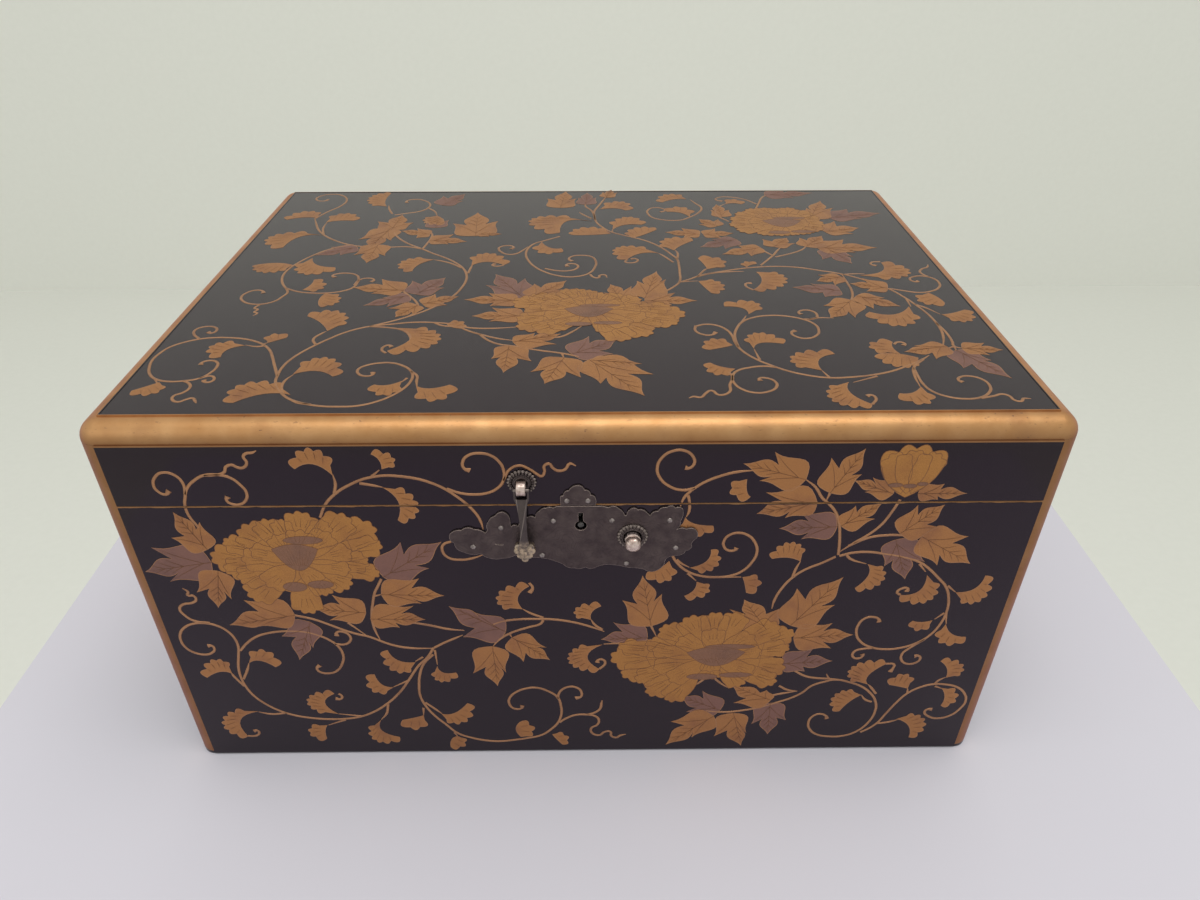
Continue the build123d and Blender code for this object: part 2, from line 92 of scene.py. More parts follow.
def mix_color(tree, factor, first, second):
    """A colour between two, which are colours or sockets."""
    made = tree.nodes.new("ShaderNodeMix")
    made.data_type = "RGBA"
    for socket, value in ((made.inputs[0], factor), (made.inputs[6], first), (made.inputs[7], second)):
        if isinstance(value, bpy.types.NodeSocket):
            tree.links.new(value, socket)
        elif isinstance(value, tuple):
            socket.default_value = (*value, 1.0)
        else:
            socket.default_value = value
    return made.outputs[2]


def noise(tree, scale, detail=3.0, roughness=0.5, stretch=(1, 1, 1)):
    """Noise on the piece's own coordinates: scale is in bumps per metre."""
    place = add_node(tree, "ShaderNodeTexCoord").outputs["Object"]
    mapped = add_node(tree, "ShaderNodeMapping", {"Vector": place, "Scale": stretch}).outputs[0]
    settings = {"Vector": mapped, "Scale": scale, "Detail": detail, "Roughness": roughness}
    return add_node(tree, "ShaderNodeTexNoise", settings).outputs["Fac"]


def ramp(tree, factor, low, high, from_value=0.0, to_value=1.0):
    """A value that runs from one end to the other while the factor goes from low to high."""
    ends = {"Value": factor, "From Min": low, "From Max": high, "To Min": from_value, "To Max": to_value}
    return add_node(tree, "ShaderNodeMapRange", ends, clamp=True).outputs[0]


def bump(tree, height, distance, strength=1.0):
    """Surface relief of the given height in metres."""
    made = add_node(tree, "ShaderNodeBump", {"Height": height, "Distance": distance, "Strength": strength})
    return made.outputs[0]


def new_material(name, metallic=0.0, roughness=0.5, **sockets):
    """A material, its node tree and its Principled shader, with the plain values set on the shader."""
    material = bpy.data.materials.new(name)
    material.use_nodes = True
    tree = material.node_tree
    shader = tree.nodes["Principled BSDF"]
    shader.inputs["Metallic"].default_value = metallic
    shader.inputs["Roughness"].default_value = roughness
    for socket, value in sockets.items():
        shader.inputs[socket.replace("_", " ")].default_value = value
    return material, tree, shader


def feed(tree, shader, **sockets):
    """Links outputs to the shader's sockets."""
    for socket, output in sockets.items():
        tree.links.new(output, shader.inputs[socket.replace("_", " ")])


plinth_paint, tree, shader = new_material("plinth_paint", roughness=0.75)
feed(tree, shader, Base_Color=mix_color(tree, noise(tree, 3, 4), (0.64, 0.62, 0.7), (0.69, 0.67, 0.75)))
wall_paint, tree, shader = new_material("wall_paint", roughness=0.9)
feed(tree, shader, Base_Color=mix_color(tree, noise(tree, 60, 6), (0.81, 0.81, 0.765), (0.85, 0.85, 0.805)))
PLINTH_LEFT, PLINTH_RIGHT = -0.319, 0.333
PLINTH_FRONT, PLINTH_BACK = -0.42, 0.24
PLINTH_HEIGHT = 0.9
ROOM_WIDTH, ROOM_DEPTH, ROOM_HEIGHT = 10.0, 5.0, 3.2
pick()
bpy.ops.mesh.primitive_cube_add(size=1.0)
plinth = bpy.context.object
plinth.name = "plinth"
plinth_size = (PLINTH_RIGHT - PLINTH_LEFT, PLINTH_BACK - PLINTH_FRONT, PLINTH_HEIGHT)
plinth_middle = ((PLINTH_RIGHT + PLINTH_LEFT) / 2, (PLINTH_BACK + PLINTH_FRONT) / 2, -PLINTH_HEIGHT / 2)
plinth.data.transform(Matrix.Translation(plinth_middle) @ Matrix.Diagonal((*plinth_size, 1)))
plinth.data.materials.append(plinth_paint)
pick()
bpy.ops.mesh.primitive_plane_add(size=1.0)
room = bpy.context.object
room.name = "room"
floor_size = Matrix.Diagonal((ROOM_WIDTH, ROOM_DEPTH, 1, 1))
room.data.transform(Matrix.Translation((0, 0, -PLINTH_HEIGHT)) @ floor_size)
bpy.ops.object.mode_set(mode="EDIT")
bpy.ops.mesh.select_all(action="DESELECT")
bpy.ops.object.mode_set(mode="OBJECT")
for edge in room.data.edges:
    edge.select = all(room.data.vertices[i].co.y > 0 for i in edge.vertices)
bpy.ops.object.mode_set(mode="EDIT")
bpy.ops.mesh.extrude_region_move(TRANSFORM_OT_translate={"value": (0, 0, ROOM_HEIGHT)})
bpy.ops.object.mode_set(mode="OBJECT")
room.data.materials.append(wall_paint)

world = bpy.data.worlds.new("studio")
bpy.context.scene.world = world
world.use_nodes = True
sky = world.node_tree.nodes["Background"]
sky.inputs["Color"].default_value = (0.93, 0.95, 0.9, 1.0)
sky.inputs["Strength"].default_value = 0.8
AIM = Vector((0, 0, 0.1))


def add_lamp(name, place, size, watts, color):
    """A soft rectangular lamp that faces the box."""
    data = bpy.data.lights.new(name, "AREA")
    data.shape = "RECTANGLE"
    data.size, data.size_y = size
    data.energy = watts
    data.color = color
    lamp = bpy.data.objects.new(name, data)
    lamp.location = place
    lamp.rotation_euler = (AIM - Vector(place)).to_track_quat("-Z", "Y").to_euler()
    bpy.context.scene.collection.objects.link(lamp)


add_lamp("ceiling_light", (0.15, -0.35, 2.1), (1.6, 1.0), 16, (1.0, 0.98, 0.94))
add_lamp("front_light", (-1.3, -1.5, 1.2), (1.0, 1.0), 2, (1.0, 0.98, 0.95))


# The boards: wood under black lacquer that was polished to a mirror. Every outer edge carries a quarter round
# between two small steps, gilt all over, and a gilt line runs along the parting. The inside is satin black.
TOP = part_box("lid_top")[1].z
WIDTH = 2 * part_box("body_right")[1].x
DEPTH = 2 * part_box("body_back")[1].y
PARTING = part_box("body_front")[1].z
BAND = 8.9 * MM
RIM = 0.8 * MM
SINK = 0.2 * MM
GOLD_LINE = 0.4 * MM
GOLD_WAVER = 0.15 * MM
GOLD_UNDER_BAND = 0.7 * MM
FACE_DEPTH = 0.7 * MM
BARE_FOOT = 2.0 * MM
BLACK = (0.0058, 0.0042, 0.0062)
GILT_ROUGHNESS = 0.42


def object_axes(tree):
    """The piece's own x, y and z, and the upright part of its normal."""
    coords = add_node(tree, "ShaderNodeTexCoord")
    place = add_node(tree, "ShaderNodeSeparateXYZ", {0: coords.outputs["Object"]})
    normal = add_node(tree, "ShaderNodeSeparateXYZ", {0: coords.outputs["Normal"]})
    upright = math_node(tree, "ABSOLUTE", normal.outputs[2])
    return place.outputs[0], place.outputs[1], place.outputs[2], upright


def lacquer_and_gilding(name, gilt_mask, index):
    """Black lacquer with gilding where the mask says, both with their wear; the gold is darkened by painted
    shade on the boards and at the foot of the top's moulding.
    """
    material, tree, shader = new_material(name, IOR=index, Specular_Tint=(0.92, 0.68, 0.84, 1.0))
    x, y, z, upright = object_axes(tree)
    gilt = gilt_mask(tree, x, y, z, upright)
    chips = ramp(tree, noise(tree, 420, 5, 0.62), 0.7, 0.73)
    flecks = ramp(tree, noise(tree, 1500, 2, 0.6, (0.25, 0.25, 1)), 0.66, 0.72)
    rubbed = ramp(tree, noise(tree, 60, 3), 0.52, 0.72)
    bare = math_node(tree, "MAXIMUM", chips, flecks)
    bare = math_node(tree, "MULTIPLY", bare, ramp(tree, rubbed, 0, 1, 0.35, 1))
    leaf_tone = ramp(tree, noise(tree, 90, 4), 0.3, 0.7)
    gold = mix_color(tree, leaf_tone, (0.47, 0.24, 0.095), (0.57, 0.32, 0.145))
    gold = mix_color(tree, math_node(tree, "MULTIPLY", rubbed, 0.5), gold, (0.34, 0.17, 0.08))
    # Painted shade: the gold on the upright boards and at the foot of the top's moulding is darkened towards a
    # dark gold, where less light falls on it.
    painted_shade = ramp(tree, z, TOP - BAND, TOP - 0.4 * BAND, 0.6, 0)
    gold = mix_color(tree, painted_shade, gold, (0.17, 0.075, 0.035))
    gold = mix_color(tree, bare, gold, (0.09, 0.045, 0.025))
    haze = noise(tree, 25, 4)
    black = mix_color(tree, haze, BLACK, (0.008, 0.006, 0.008))
    polish = ramp(tree, haze, 0.35, 0.7, 0.07, 0.15)
    duller = math_node(tree, "SUBTRACT", GILT_ROUGHNESS, polish)
    feed(
        tree,
        shader,
        Base_Color=mix_color(tree, gilt, black, gold),
        Metallic=math_node(tree, "MULTIPLY", gilt, ramp(tree, bare, 0, 1, 0.85, 0.1)),
        Roughness=math_node(tree, "MULTIPLY_ADD", gilt, duller, polish),
        Normal=bump(tree, math_node(tree, "MULTIPLY", gilt, noise(tree, 900, 4)), 0.0001, 0.5),
    )
    return material


def board_gilding(tree, x, y, z, upright):
    """Gold on the corner rounds, along the parting and under the top's moulding, on the outside only."""
    past_x = math_node(tree, "SUBTRACT", math_node(tree, "ABSOLUTE", x), WIDTH / 2)
    past_y = math_node(tree, "SUBTRACT", math_node(tree, "ABSOLUTE", y), DEPTH / 2)
    waver = ramp(tree, noise(tree, 130, 2), 0.3, 0.7, -GOLD_WAVER, GOLD_WAVER)
    corner = math_node(tree, "ADD", math_node(tree, "MINIMUM", past_x, past_y), BAND - 0.1 * MM)
    corner = math_node(tree, "GREATER_THAN", corner, 0.0)
    corner = math_node(tree, "MULTIPLY", corner, math_node(tree, "LESS_THAN", upright, 0.9))
    corner = math_node(tree, "MULTIPLY", corner, math_node(tree, "GREATER_THAN", z, BARE_FOOT))
    below = math_node(tree, "SUBTRACT", PARTING, z)
    line = math_node(tree, "LESS_THAN", math_node(tree, "ADD", below, waver), GOLD_LINE)
    line = math_node(tree, "MULTIPLY", line, math_node(tree, "GREATER_THAN", below, 0.0))
    under_band = math_node(tree, "GREATER_THAN", z, TOP - BAND - GOLD_UNDER_BAND)
    line = math_node(tree, "MAXIMUM", line, under_band)
    outside = math_node(tree, "GREATER_THAN", math_node(tree, "MAXIMUM", past_x, past_y), -FACE_DEPTH)
    return math_node(tree, "MAXIMUM", corner, math_node(tree, "MULTIPLY", line, outside))


def lid_top_gilding(tree, x, y, z, upright):
    """Gold on all of the moulding round the top field."""
    inset = BAND - 0.05 * MM
    past_x = math_node(tree, "SUBTRACT", math_node(tree, "ABSOLUTE", x), WIDTH / 2 - inset)
    past_y = math_node(tree, "SUBTRACT", math_node(tree, "ABSOLUTE", y), DEPTH / 2 - inset)
    outside = math_node(tree, "GREATER_THAN", math_node(tree, "MAXIMUM", past_x, past_y), -0.35 * MM)
    above = math_node(tree, "GREATER_THAN", z, TOP - inset)
    return math_node(tree, "MULTIPLY", outside, above)


boards = lacquer_and_gilding("board_lacquer", board_gilding, 1.42)
lid_board = lacquer_and_gilding("lid_top_lacquer", lid_top_gilding, 1.54)
inner, tree, shader = new_material("inner_lacquer", IOR=1.45)
haze = noise(tree, 30, 5)
inner_black = mix_color(tree, haze, (0.008, 0.007, 0.009), (0.018, 0.015, 0.016))
feed(tree, shader, Base_Color=inner_black, Roughness=ramp(tree, haze, 0.3, 0.7, 0.2, 0.34))


def dress(node, material):
    """Gives a node that is kept its own finish."""
    mesh = nodes[node].data
    mesh.materials.clear()
    mesh.materials.append(material)


for side in ("front", "back", "left", "right"):
    dress(f"body_{side}", boards)
    dress(f"lid_{side}", boards)
    dress(f"lip_{side}", inner)
dress("body_bottom", inner)
dress("lid_top", lid_board)


# The maki-e of the front: a vine with two peonies and a bud, in raised lacquer with gold and brown powders.
# Stems are low rounded lines; leaves and petals are thin plates with a raised edge, all cut at the parting.
# The points were placed along the drawing, in millimetres from the middle of the foot.
STEM_HALF = 0.68
STEM_TAPER = 0.35
BALL = 1.25
EDGE = 0.26
EDGE_RISE = 0.03


def bowed(start, end, bulge, count):
    """Points from the start up to the end along an arc that bulges to the left by a part of its chord."""
    start, end = Vector(start), Vector(end)
    along = end - start
    across = Vector((-along.y, along.x))
    steps = [i / count for i in range(count)]
    return [start + along * t + across * (4 * bulge * t * (1 - t)) for t in steps]


def pointed(start, tip, bulge, count=10):
    """Points from the start up to a drawn-out tip; the edge swells near the start."""
    start, tip = Vector(start), Vector(tip)
    along = tip - start
    across = Vector((-along.y, along.x))
    points = []
    for t in (i / count for i in range(count)):
        swell = bulge * (math.sin(math.pi * t) + 0.42 * math.sin(2 * math.pi * t))
        points.append(start + along * t + across * swell)
    return points


def through(start, middle, end, t):
    """A point of the parabola through three points."""
    start, middle, end = Vector(start), Vector(middle), Vector(end)
    pull = 2 * middle - (start + end) / 2
    return start * (1 - t) ** 2 + pull * (2 * t * (1 - t)) + end * t * t


def arched(start, middle, end, t):
    """A point of a full arch through three points."""
    start, middle, end = Vector(start), Vector(middle), Vector(end)
    lift = (middle - (start + end) / 2) * 4 / 3
    return start.lerp(end, t * t * (3 - 2 * t)) + lift * 3 * t * (1 - t)


def side_of(base, tip, point):
    """1 where the point lies left of the way from base to tip, else -1."""
    base, tip, point = Vector(base), Vector(tip), Vector(point)
    return 1 if (tip - base).cross(point - base) > 0 else -1


NOTCH = 0.4
SIDE_LOBE_SWELL = 0.25
TIP_LOBE_SWELL = 0.14


def leaf_outline(base, tip, left, right):
    """A peony leaf of three pointed lobes."""
    base, tip, left, right = Vector(base), Vector(tip), Vector(left), Vector(right)
    if side_of(base, tip, left) < 0:
        left, right = right, left
    heart = base.lerp(tip, 0.4)
    left_notch, right_notch = heart.lerp(left, NOTCH), heart.lerp(right, NOTCH)
    outline = pointed(base, right, -SIDE_LOBE_SWELL) + [right]
    outline += pointed(right_notch, tip, -TIP_LOBE_SWELL) + [tip]
    outline += pointed(left_notch, tip, TIP_LOBE_SWELL)[:0:-1] + [left_notch, left]
    return outline + pointed(base, left, SIDE_LOBE_SWELL)[:0:-1]


def leaf_veins(base, tip, left, right):
    """The ribs of a peony leaf and the short veins that leave its main rib."""
    base, tip = Vector(base), Vector(tip)
    heart = base.lerp(tip, 0.12)
    ribs = [[base, base.lerp(tip, 0.5), base.lerp(tip, 0.9)]]
    for side in (Vector(left), Vector(right)):
        ribs.append([heart, heart.lerp(side, 0.5) + (tip - base) * 0.03, heart.lerp(side, 0.85)])
        for part in (0.42, 0.56, 0.7):
            foot = base.lerp(tip, part)
            reach = (side - base.lerp(tip, 0.45)) * 0.55 * (1.15 - part)
            ribs.append([foot, foot + reach * 0.5 + (tip - base) * 0.06, foot + reach + (tip - base) * 0.1])
    return ribs


LOBED_PART = 0.86


def frond_outline(base, inner, tip, outer, lobes):
    """A scrolling half palmette: a smooth inner edge, and rounded lobes along the outer one."""
    way = side_of(base, tip, outer)
    outline = [through(base, inner, tip, i / 8) for i in range(8)]
    cuts = [arched(tip, outer, base, LOBED_PART * i / lobes) for i in range(lobes + 1)]
    for start, end in zip(cuts, cuts[1:]):
        outline += bowed(start, end, -0.5 * way, 8)
    outline.append(cuts[-1])
    return outline if way > 0 else outline[::-1]


def frond_veins(base, inner, tip, outer, lobes):
    """The fine lines between the lobes."""
    veins = []
    for i in range(1, lobes):
        start = arched(tip, outer, base, LOBED_PART * i / lobes)
        end = through(tip, inner, base, 0.8 * i / lobes + 0.12)
        veins.append([start.lerp(end, 0.12), start.lerp(end, 0.4), start.lerp(end, 0.66)])
    return veins


SHOULDER = 0.74
PETAL_SIDE_BULGE = -0.12
SCALLOP_BULGE = -0.4


def petal_outline(root, tip, width, scallops=4):
    """A fan-shaped petal with a scalloped edge."""
    root, tip = Vector(root), Vector(tip)
    across = Vector((-(tip - root).y, (tip - root).x)).normalized() * width / 2
    left, right = root.lerp(tip, SHOULDER) + across, root.lerp(tip, SHOULDER) - across
    outline = bowed(root, right, PETAL_SIDE_BULGE, 6)
    cuts = [through(right, tip, left, i / scallops) for i in range(scallops + 1)]
    for start, end in zip(cuts, cuts[1:]):
        outline += bowed(start, end, SCALLOP_BULGE, 6)
    return outline + bowed(left, root, PETAL_SIDE_BULGE, 6)


def petal_veins(root, tip, width):
    """The lines that fan out in a petal."""
    root, tip = Vector(root), Vector(tip)
    across = Vector((-(tip - root).y, (tip - root).x)).normalized() * width / 2
    veins = []
    for part in (-0.4, 0.05, 0.45):
        veins.append([root.lerp(tip, 0.6) + across * part * 0.6, root.lerp(tip, 0.85) + across * part])
    return veins


def round_outline(centre, half_width, half_height, count=20):
    """An oval."""
    x, y = centre
    turns = [2 * math.pi * i / count for i in range(count)]
    return [Vector((x + half_width * math.cos(a), y + half_height * math.sin(a))) for a in turns]


def peony(centre, petals, core):
    """The layers of a full flower, from its outermost petals to the brown cup in its middle."""
    centre = Vector(centre)
    bed = [centre.lerp(Vector(petal[:2]), 0.66) for petal in petals]
    bed.sort(key=lambda point: math.atan2(*(point - centre)), reverse=True)
    layers = {"bed": [bed], "outer": [], "inner": [], "cup": [], "core": [], "veins": []}
    for x, y, width in petals:
        tip = Vector((x, y))
        root = centre.lerp(tip, 0.3)
        layers["outer"].append(petal_outline(root, tip, width))
        layers["veins"] += petal_veins(root, tip, width)
    for x, y, width in petals[::2]:
        tip = centre.lerp(Vector((x, y)), 0.64)
        root = centre.lerp(tip, 0.1)
        layers["inner"].append(petal_outline(root, tip, 0.85 * width, 3))
        layers["veins"] += petal_veins(root, tip, 0.8 * width)
    x, y = centre + Vector(core[:2])
    reach, rise = core[2:]
    cup_left, cup_right = (x - reach, y + rise), (x + reach, y + rise)
    cup = bowed(cup_left, cup_right, -0.95 * rise / reach, 14) + bowed(cup_right, cup_left, -0.14, 8)
    layers["cup"].append(cup)
    layers["core"].append(round_outline((x + 0.45 * reach, y + 1.75 * rise), 0.85 * reach, 0.36 * rise))
    layers["core"].append(round_outline((x - 0.4 * reach, y - 2.35 * rise), 0.54 * reach, 0.45 * rise))
    layers["core"].append(round_outline((x + 0.75 * reach, y - 2.15 * rise), 0.58 * reach, 0.38 * rise))
    for i in range(-4, 5):
        foot = Vector((x + i * reach * 0.08, y - 0.45 * rise))
        layers["veins"].append([foot, Vector((x + i * reach * 0.17, y + 0.9 * rise))])
    return layers


front_stems = [
    ([(-160.5, 150.5), (-163, 157), (-163, 163), (-161.5, 168), (-161, 174), (-163, 177.5), (-167.5, 179),
      (-171, 177), (-173, 172.5), (-172, 169.5), (-169.5, 168), (-167.5, 170)], True),
    ([(-161.5, 168), (-160, 171), (-156, 175), (-151.5, 177.5), (-146, 177.7), (-141, 176), (-138, 172.5),
      (-136.5, 169), (-137.5, 165), (-140.5, 162.7), (-144, 163), (-145.5, 165), (-144.5, 166.7)], True),
    ([(-151.5, 177.5), (-147.5, 177.6), (-143, 179), (-141.7, 181.6), (-139.3, 182.5), (-136.5, 181),
      (-134.2, 181.6), (-133, 184), (-133.7, 186.3), (-132.3, 188), (-130, 188.3), (-128, 189.3)], False),
    ([(-109, 155.5), (-105.5, 162.5), (-101, 167.5), (-95.5, 171.5), (-84.3, 176.2), (-72, 176.2),
      (-60, 172.5), (-51, 165.7), (-44.3, 157.3), (-42.5, 152.7), (-41.8, 148.5)], False),
    ([(-55, 170), (-50, 167.8), (-45, 167), (-39, 167.6), (-34.5, 170), (-31.7, 174), (-31.3, 179),
      (-32.7, 183), (-36, 186.3), (-40.6, 187.4), (-44.8, 186.5), (-47.3, 183.5), (-47, 180),
      (-44.8, 179)], True),
    ([(-31.7, 174), (-30.8, 176), (-29, 179.3), (-25, 181.3), (-21, 179.5), (-18, 177), (-16.3, 176),
      (-15, 178.3), (-15, 181), (-13, 182.1), (-11.7, 180.2), (-9.3, 178.6), (-6.5, 179.5), (-4.7, 182.1),
      (-2.3, 181)], False),
    ([(-101, 168), (-99.7, 173), (-100, 177.5)], False),
    ([(-84.5, 176.5), (-81, 179.6)], False),
    ([(-90, 173), (-85, 172), (-81, 171)], False),
    ([(-70.3, 77.6), (-74, 71), (-78.7, 65.5), (-84.3, 56), (-90, 46.8), (-97.3, 38.4), (-104.8, 32.3),
      (-112.3, 28.6), (-119.7, 27.2), (-128, 27), (-136.5, 28), (-144, 30), (-150.5, 33.3), (-157, 39),
      (-161.3, 45), (-163.6, 51.5), (-164.5, 59), (-164, 65.5), (-162.2, 73), (-160.8, 79.5), (-161.3, 85),
      (-163.6, 89.7), (-167.3, 93), (-172, 94.6), (-177.6, 94.4), (-182.3, 92), (-185.3, 88), (-186.2, 83),
      (-185, 78.5), (-181.8, 75.3), (-177.6, 74.1), (-174, 75.3), (-172.2, 78), (-173, 80),
      (-174.8, 79.9)], True),
    ([(-170, 94.8), (-176.7, 96.2), (-180, 99.5), (-181.3, 103.7), (-179, 106.5), (-174.8, 107.4),
      (-172.5, 109.3), (-173, 111.6), (-175.5, 112.1), (-174.8, 114), (-176.7, 116.3)], False),
    ([(-160.5, 76.5), (-156, 81.8), (-150.5, 86), (-145, 88), (-139, 89), (-128, 88.5), (-122, 86),
      (-118, 83.2), (-114.6, 79), (-113.2, 73), (-114.6, 67.3), (-118, 62.2), (-121.6, 60.6), (-125.8, 61.3),
      (-127.2, 64), (-125.3, 66.2)], True),
    ([(-116, 80.5), (-111.3, 80.2), (-108.5, 82.3), (-108, 85.5), (-110.4, 88.3), (-113.7, 88),
      (-114, 85.8)], True),
    ([(-163.5, 57), (-160, 64), (-158.5, 68)], False),
    ([(-164.3, 52), (-167.8, 59.5), (-168.3, 61.5)], False),
    ([(-148, 32), (-156, 31.3), (-161.7, 33)], False),
    ([(-76, 71.3), (-80, 68.3)], False),
    ([(-85, 55), (-92.7, 50.5)], False),
    ([(-111, 29), (-122.5, 31)], False),
    ([(-119.7, 26.5), (-129, 22.5)], False),
    ([(-97, 38), (-98.7, 31), (-102, 26.3)], False),
    ([(-71, 73), (-76, 67), (-78.7, 60), (-80.2, 51.5), (-80.5, 44), (-78.7, 36.5), (-75, 29), (-70.3, 22.5),
      (-64.5, 15), (-58.8, 11.8), (-51.3, 9.3), (-44, 8.5), (-36.4, 9.5), (-29, 11), (-22.4, 13.2),
      (-17.7, 17.4), (-14, 22.5), (-12, 29), (-12, 35.6), (-13.5, 42), (-17.7, 46.3), (-23.3, 49),
      (-29, 48.5), (-33.6, 46), (-37, 41.7), (-37.3, 37), (-35, 33.7), (-31.7, 34), (-31, 36.2)], True),
    ([(-13.3, 41), (-13, 44), (-11, 47.7), (-7.5, 49.6), (-3.7, 48.7), (-1.7, 45.4), (-2.3, 42),
      (-4.7, 41.2)], True),
    ([(-13, 23), (-9.3, 26.3), (-4.7, 28.6), (1, 28.7), (4.7, 27.7), (6.7, 25), (6, 21), (2.8, 18),
      (3.7, 14), (7, 12.7), (9.8, 15.3), (12.6, 15.3), (13, 12.3), (15.4, 10.6), (17.7, 12.3),
      (20.5, 13.2)], False),
    ([(1, 28.7), (5, 30.5), (7.5, 33.5), (8, 37), (8.4, 39.5)], False),
    ([(-80, 35), (-80.5, 29.5)], False),
    ([(-78.7, 39), (-74, 33.7), (-71.3, 30.5)], False),
    ([(-66.5, 16), (-65, 12.5)], False),
    ([(-70, 76), (-69.8, 66)], False),
    ([(-70, 77.5), (-65.5, 80.5), (-60.5, 83.3), (-56, 85.7)], False),
    ([(-132, 99.5), (-122.5, 96.5), (-116, 93), (-110.4, 89.7), (-104.8, 87), (-99, 85), (-94.5, 82.3),
      (-88, 79), (-80.5, 77.3), (-71, 77.1)], False),
    ([(-107.6, 94.4), (-100, 85.5)], False),
    ([(-88.5, 121), (-90.5, 117), (-92.7, 112.5), (-94.5, 106), (-96, 98.5), (-96, 90), (-94.5, 83)], False),
    ([(-93, 110.7), (-90, 111.6)], False),
    ([(-78, 94), (-70, 92), (-62.5, 89.7), (-55, 88.7)], False),
    ([(-41.5, 92.5), (-37.3, 94.3), (-30, 95.5), (-21.5, 95.7), (-14, 95.3), (-4.7, 93.4), (2.8, 90.6),
      (9.3, 87.3)], False),
    ([(-18.5, 95), (-20, 92.5), (-25, 90.6), (-30.8, 88.3), (-34.5, 86.4), (-39.2, 82.8),
      (-42.5, 78.3)], False),
    ([(-34.5, 86.4), (-33.5, 84)], False),
    ([(-18.5, 96.5), (-24.3, 99.5), (-27.5, 102)], False),
    ([(8.4, 88.5), (4.7, 92), (3.3, 95)], False),
    ([(30.8, 90.6), (33.6, 83.5)], False),
    ([(33, 81.5), (27, 81), (18.7, 79.7), (9, 79)], False),
    ([(44.8, 168.5), (49.5, 172.3), (56, 175.5), (62.5, 177.5), (70, 178.3)], False),
    ([(46, 169.5), (41, 168.5), (35.5, 170.6), (31.7, 174.6), (30.3, 179.7), (32.2, 185), (36.4, 188),
      (41, 188), (44.3, 185.3), (45, 181.6), (43, 179.5), (41.5, 179.8)], True),
    ([(44.8, 168.5), (42, 164.8), (40.6, 160)], False),
    ([(43.5, 166), (44.3, 162), (44.3, 157.3), (43.4, 154.5)], False),
    ([(38.7, 133), (40, 130.3), (44.8, 124.7), (51.3, 121.4), (58.8, 120.5), (64.4, 121.2), (69.3, 123.7),
      (73.5, 129.3), (75, 135), (73.5, 140.5), (70.3, 144.3), (66, 145.7), (62, 144.3), (60.3, 141.5),
      (60.3, 138.7), (62.5, 136), (65.3, 136.1), (66, 137.5)], True),
    ([(60, 120.6), (69.5, 120.5)], False),
    ([(110.4, 133), (110, 138.7), (109, 146), (108, 150.8), (105.7, 156.4), (102.5, 160.6), (99, 164),
      (95.5, 169.5), (91, 173.5)], False),
    ([(101.8, 166.6), (100.9, 162.9)], False),
    ([(131.4, 163), (129.5, 157.3), (126.3, 150), (121.6, 144.3), (116, 139.6), (110.9, 134.9)], False),
    ([(114, 138), (121.6, 142.4), (129, 143.8), (136.5, 143.8), (144, 143)], False),
    ([(111, 132.3), (116, 134), (123.5, 134.5), (130, 133.5), (139, 131.5), (146.8, 128.4), (151.5, 124.7),
      (157, 119), (161.7, 113.5), (164.5, 106), (165.3, 99.5), (164.5, 91.6), (160.8, 83), (155, 77.6),
      (148.7, 74.8), (142, 74), (134.7, 75.5), (129, 79.5), (126.3, 85), (126.3, 90.2), (128.6, 94.4),
      (132.3, 95.3), (135, 94), (135.6, 92)], True),
    ([(136, 75), (131, 74.3), (127.7, 73), (127, 69.7), (129.5, 67.8), (132, 69.7), (131.4, 71)], True),
    ([(159, 80.5), (153.3, 74.8), (150.5, 71), (151, 66.4), (154.3, 63.8), (158, 64.5), (159.7, 67.3),
      (158.5, 69.4), (156.6, 69)], True),
    ([(114, 133), (116, 130.7), (123.5, 127.7)], False),
    ([(109.5, 132), (104, 128.4), (97.3, 124.7), (92.2, 120), (88, 113), (85.7, 106), (85.2, 101)], False),
    ([(92.2, 120.5), (93, 125), (94.5, 129.5)], False),
    ([(146.8, 127.5), (150.5, 122.8)], False),
    ([(162.2, 114.4), (166.5, 110.5)], False),
    ([(164.5, 97.5), (160.8, 93.5)], False),
    ([(165.3, 97.5), (166.9, 90.5)], False),
    ([(60, 31), (69.3, 29.8), (78.7, 31), (87, 33.3), (95.5, 37), (102, 40.3), (106.7, 44), (110.4, 48.7),
      (116, 51.5), (121.6, 53), (129, 51), (134.7, 48.2), (140.3, 43), (144, 36.5), (145, 29), (143, 20.7),
      (138.4, 14), (132, 10.4), (124.4, 10), (118, 11.8), (114, 16), (112.7, 20.7), (113.7, 25.3),
      (117, 27.7), (120.7, 26.3), (121.6, 24)], True),
    ([(101, 59.5), (106.7, 55.7), (112.3, 54.3), (118, 53.8), (125, 53)], False),
    ([(118, 54), (116.5, 57.3)], False),
    ([(91.7, 42), (97.3, 43.5), (104, 45)], False),
    ([(94.5, 49), (99, 46), (104, 45)], False),
    ([(140.3, 13.2), (144, 16), (147.7, 20.5), (150.5, 27), (154.3, 35.6), (158, 42), (162.7, 46.3),
      (169, 49), (175.7, 49), (182.3, 46.8), (187, 42), (188.8, 36.5), (187.4, 31), (183.7, 25.8),
      (177.6, 23.5), (172.5, 25.3), (170, 28.6), (171, 30.5), (173.4, 30.5)], True),
    ([(148, 20), (153.3, 21), (158, 23)], False),
    ([(142, 36.5), (138.4, 38.4), (136, 41.8)], False),
    ([(158.5, 43), (158, 46.3)], False),
    ([(170.6, 49.6), (172, 52), (175, 54.2)], False),
    ([(171, 47.8), (174.8, 46)], False),
    ([(143, 42.6), (140, 47), (138, 49.5)], False),
    ([(60.2, 58), (56, 52.4), (50.5, 47.7)], False),
    ([(61, 57), (65.6, 51.5), (70.3, 47.5)], False),
    ([(-56, 142), (-59.3, 140.5), (-60.2, 137), (-58, 133), (-53, 131.7), (-47.6, 132.6),
      (-43, 134.5)], False),
    ([(40.5, 131), (42, 129.3), (46.3, 126.4)], False),
